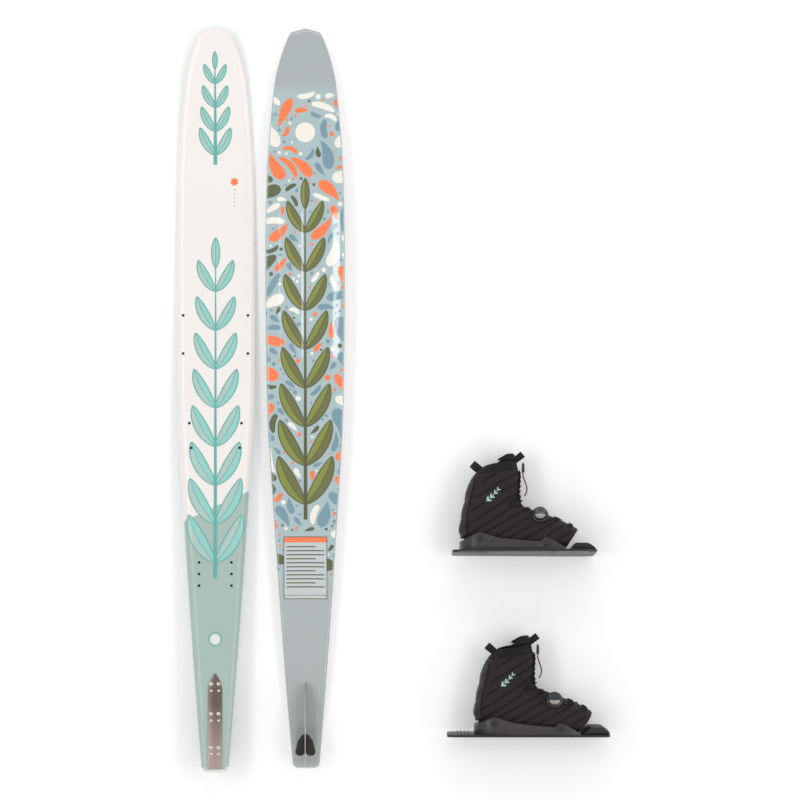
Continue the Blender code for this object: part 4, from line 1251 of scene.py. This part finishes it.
def wrapped(prefix, name, figuresByWay, upper, offset, columns):
    # flat figures seen from the side, laid on the upper
    marks = []
    for way, figures in figuresByWay:
        for figure in figures:
            marks.append(grid("mark", steps(-1, 1, columns), list(range(len(figure.points))), lambda u, k: (
                figure.at(k, u * figure.half(figure.points[k][0]))[0], 90.0 * way,
                figure.at(k, u * figure.half(figure.points[k][0]))[1])))
    mark = joined(prefix + name, marks)
    apply(mark, "SHRINKWRAP", target=upper, wrap_method="PROJECT", use_project_y=True, use_project_x=False,
          use_project_z=False, use_negative_direction=True, use_positive_direction=True, project_limit=80.0,
          wrap_mode="ABOVE_SURFACE", offset=offset)
    # what lies past the edge of the upper found nothing to rest on
    return outward(pruned(mark, "VERTS", lambda vert: abs(vert.co.y) > 80))


def sideMarks(prefix, upper, place):
    # a pale leaf sprig on each side, and the dark flex patch at the ankle
    sprigs, patches = [], []
    for way in (-1, 1):
        patches.append((way, [Figure(124, 101, 55, 34, 21, 0, 0.22, 0.12)]))
        stem = Figure(74, 112, 52, 40, 1.5, -14, 0.1, 0.3)
        figures = [stem]
        for share, x, y, turn in stem.points[2:-1:2]:
            for lean in (-1, 1):
                figures.append(Figure(x, y, turn * 180 / pi + 46 * lean, 11.0 - 4 * share, 3.4 - 1.2 * share,
                                      -18 * lean, 0.6, 0.8))
        sprigs.append((way, figures))
    finish(put(rounded(wrapped(prefix, "_side_sprig", sprigs, upper, 0.35, 3), 60), place), skins["markInk"], prefix,
           "shell_fabric")
    patch = wrapped(prefix, "_ankle_patch", patches, upper, 0.3, 16)
    finish(put(rounded(patch, 60), place), skins["collar"], prefix, "shell_fabric")


# with groove set, the colour carries painted shade in the stitched grooves, read from the mesh's groove attribute
def fabricFinish(name, low, high, rough, pitch, depth, groove=False):
    made = Finish(name, Specular_IOR_Level=0.3)
    spot = made.place()
    x, y, z = made.axes(spot)
    across = ((x + z) * (2 * pi / pitch)).sine()
    along = ((y + z * 0.6) * (2 * pi / pitch)).sine()
    weave = across * along * 0.5 + 0.5
    cloudy = made.noise(spot, 55.0, 3.0)
    colour = made.mix(weave * 0.5 + cloudy * 0.5, low, high)
    if groove:
        # painted shade: where the groove attribute is set, the colour is mixed most of the way to near-black,
        # standing in for the shade in the stitched grooves
        grooveShade = made.node("Attribute", {"attribute_name": "groove"}, output="Fac")
        colour = made.mix(grooveShade * 0.85, colour, tone(15, 12, 12))
    made.set(Base_Color=colour, Roughness=cloudy * 0.12 + rough)
    return made.bump(weave + cloudy * 0.6, 0.5, depth).material


def mouldedFinish(name, colour, rough, coat=0.0, grain=420.0):
    return grained(name, colour, rough, scales=(14.0, grain), Coat_Weight=coat, Coat_Roughness=0.15,
                   Specular_IOR_Level=0.4)


skins |= {
    # the shell fabric carries painted shade in the stitched grooves of the upper
    "shell": fabricFinish("shell_fabric", tone(30, 24, 23), tone(44, 36, 35), 0.66, 0.0019, 0.0003, True),
    "collar": fabricFinish("collar_fabric", tone(20, 17, 16), tone(28, 25, 24), 0.75, 0.0014, 0.0002),
    "footbed": fabricFinish("footbed_foam", tone(30, 30, 31), tone(40, 40, 41), 0.8, 0.004, 0.0004),
    "webbing": fabricFinish("webbing", tone(18, 15, 14), tone(30, 27, 26), 0.7, 0.0022, 0.0005),
    "rubber": mouldedFinish("rubber_black", tone(36, 31, 30), 0.5),
    "lock": mouldedFinish("lock_black", tone(58, 54, 52), 0.35),
    "plate": mouldedFinish("plate_black", tone(30, 27, 26), 0.42, 0.15),
    "chassis": mouldedFinish("chassis_grey", tone(52, 48, 46), 0.34, 0.2),
    "dialBlack": mouldedFinish("dial_black", tone(24, 22, 22), 0.2, 0.5, 900.0),
    "hubSteel": mouldedFinish("hub_steel", tone(150, 148, 146), 0.3),
    "boltSteel": mouldedFinish("bolt_black", tone(30, 27, 26), 0.3, 0.4),
    "cord": fabricFinish("lace_cord", tone(15, 13, 13), tone(26, 24, 23), 0.6, 0.0012, 0.0003),
    "thread": fabricFinish("thread", tone(22, 18, 18), tone(34, 29, 28), 0.6, 0.0006, 0.0001),
    "markInk": mouldedFinish("side_mark_ink", tone(176, 212, 204), 0.5),
}


# node, its piece's name, eased edge, finish, body and slot
hardParts = [("_cord_lock", "_lock_body", 0.5, "lock", "_cord_lock", "rubber"),
             ("_cord_lock_button", "_lock_button", 0.3, "rubber", "_lock_button", "rubber"),
             ("_base_plate", "_plate", 0.7, "plate", "_boot", "plate_black"),
             ("_chassis", "_tray", 0.6, "chassis", "_boot", "chassis_grey")]


def makeBoot(side):
    prefix = side + "_boot"
    place = bootFrame(side)
    upper = upperPiece(prefix, place, prefix)
    sideMarks(prefix, upper, place)
    finish(put(upper, place), skins["shell"], prefix, "shell_fabric", [prefix + "_upper"])
    liner = filled(put(linerPiece(prefix), place), 1.6)
    finish(liner, skins["collar"], prefix, "liner_foam", [prefix + "_liner"])
    footbed = filled(put(footbedPiece(prefix), place), 1.0)
    finish(footbed, skins["footbed"], prefix, "footbed_foam", [prefix + "_footbed"])
    tongue = filled(put(tonguePiece(prefix), place), 1.4)
    finish(tongue, skins["collar"], None, "liner_foam", [prefix + "_tongue", prefix + "_instep_gusset"])
    bend = [place @ (Vector(ringPoint(r, 0, -3)) * mm) for r in (4.6, 6.0)]
    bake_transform(tongue)
    toe = finish(put(toePadPiece(prefix), place), skins["rubber"], prefix, "rubber", [prefix + "_toe_pad"])
    heel = radians(38)

    def ribs(a, r):
        swell = 2.6 * abs(sin(pi * r * 0.64)) - 0.5
        return ringPoint(r, a, 2.6 + swell * smoothStep((heel - abs(a - pi)) * 5 - 0.3))
    stay = grid(prefix + "_heel_guard", steps(pi - heel, pi + heel, 40), steps(7.4, 12.5, 170), ribs)
    apply(outward(stay), "SOLIDIFY", thickness=2.0, offset=-1.0)
    finish(put(rounded(outward(stay), 50), place), skins["rubber"], prefix, "rubber", [prefix + "_heel_stay"])
    heelLoop = archStrap(prefix + "_heel_webbing", **webbing["heel"])
    finish(put(heelLoop, place), skins["webbing"], prefix, "webbing", [prefix + "_heel_loop"])
    shinLoop = archStrap(prefix + "_shin_webbing", **webbing["shin"])
    finish(put(shinLoop, place), skins["webbing"], side + "_tongue", "webbing", [prefix + "_tongue_loop"])
    dialParts(prefix, side, place)
    bootBolts(prefix, place)
    laceParts(prefix, side, place)
    guideParts(prefix, place)
    for node, name, edge, skin, body, slot in hardParts:
        finish(refined(prefix + node, prefix + name, edge), skins[skin], side + body, slot, [prefix + node])
    dressed(prefix + "_dial_hub", skins["hubSteel"])
    print("made", prefix)


for side in ("front", "rear"):
    makeBoot(side)


# Studio

studio = {
    "cameraHeight": 6.4, "view": 1.78, "middle": (0.0168, 0.0, 0.03), "forward": 0.22,
    "floor": 60.0, "skyTone": (1.0, 1.0, 1.0),
    "skyStrength": 0.72, "floorGlow": 0.12,
    # place, size across and along, power, how far it turns to the middle
    "lamps": [((-2.3, 0.2, 3.2), (0.9, 3.2), 28.0, 1.0), ((2.4, -0.2, 3.4), (0.9, 3.2), 28.0, 1.0),
              ((0.2, 3.1, 3.0), (3.0, 0.8), 18.0, 1.0), ((-0.212, 0.33, 3.8), (0.046, 0.95), 1.1, 0.0)],
}


def aimed(spot, target):
    # looks from spot to target with its top towards the tips
    look = (target - spot).normalized()
    right = look.cross(Vector((0, 1, 0))).normalized()
    return Matrix((right, right.cross(look), -look)).transposed().to_euler()


def makeStudio():
    selectOnly()
    bpy.ops.mesh.primitive_plane_add(size=studio["floor"], location=(0, 0, -0.001))
    floor = named("studio_floor")
    paper = Finish("studio_paper", Roughness=0.9, Base_Color=(0.92, 0.92, 0.92),
                   Emission_Color=(1.0, 1.0, 1.0), Emission_Strength=studio["floorGlow"])
    floor.data.materials.append(paper.material)
    world = bpy.data.worlds.new("studio_light")
    bpy.context.scene.world = world
    world.use_nodes = True
    sky = world.node_tree.nodes["Background"]
    sky.inputs["Color"].default_value = (*studio["skyTone"], 1.0)
    sky.inputs["Strength"].default_value = studio["skyStrength"]
    target = Vector(studio["middle"])
    for n, (spot, size, power, toMiddle) in enumerate(studio["lamps"]):
        bpy.ops.object.light_add(type="AREA", location=spot)
        lamp = bpy.context.object
        lamp.name = "studio_lamp_" + str(n)
        lamp.data.shape = "RECTANGLE"
        lamp.data.size, lamp.data.size_y = size
        lamp.data.energy = power
        lamp.rotation_euler = aimed(Vector(spot), Vector((spot[0], spot[1], 0)).lerp(target, toMiddle))
    bpy.context.scene.view_settings.view_transform = "Standard"


def makeCamera():
    target = Vector(studio["middle"])
    spot = target + Vector((0, studio["forward"], studio["cameraHeight"]))
    bpy.ops.object.camera_add(location=spot)
    camera = bpy.context.object
    camera.name = "studio_camera"
    camera.rotation_euler = aimed(spot, target)
    camera.data.sensor_width = 36.0
    camera.data.lens = 36.0 * (target - spot).length / studio["view"]
    camera.data.clip_end = 100.0
    bpy.context.scene.camera = camera


makeStudio()
makeCamera()

print("finished")
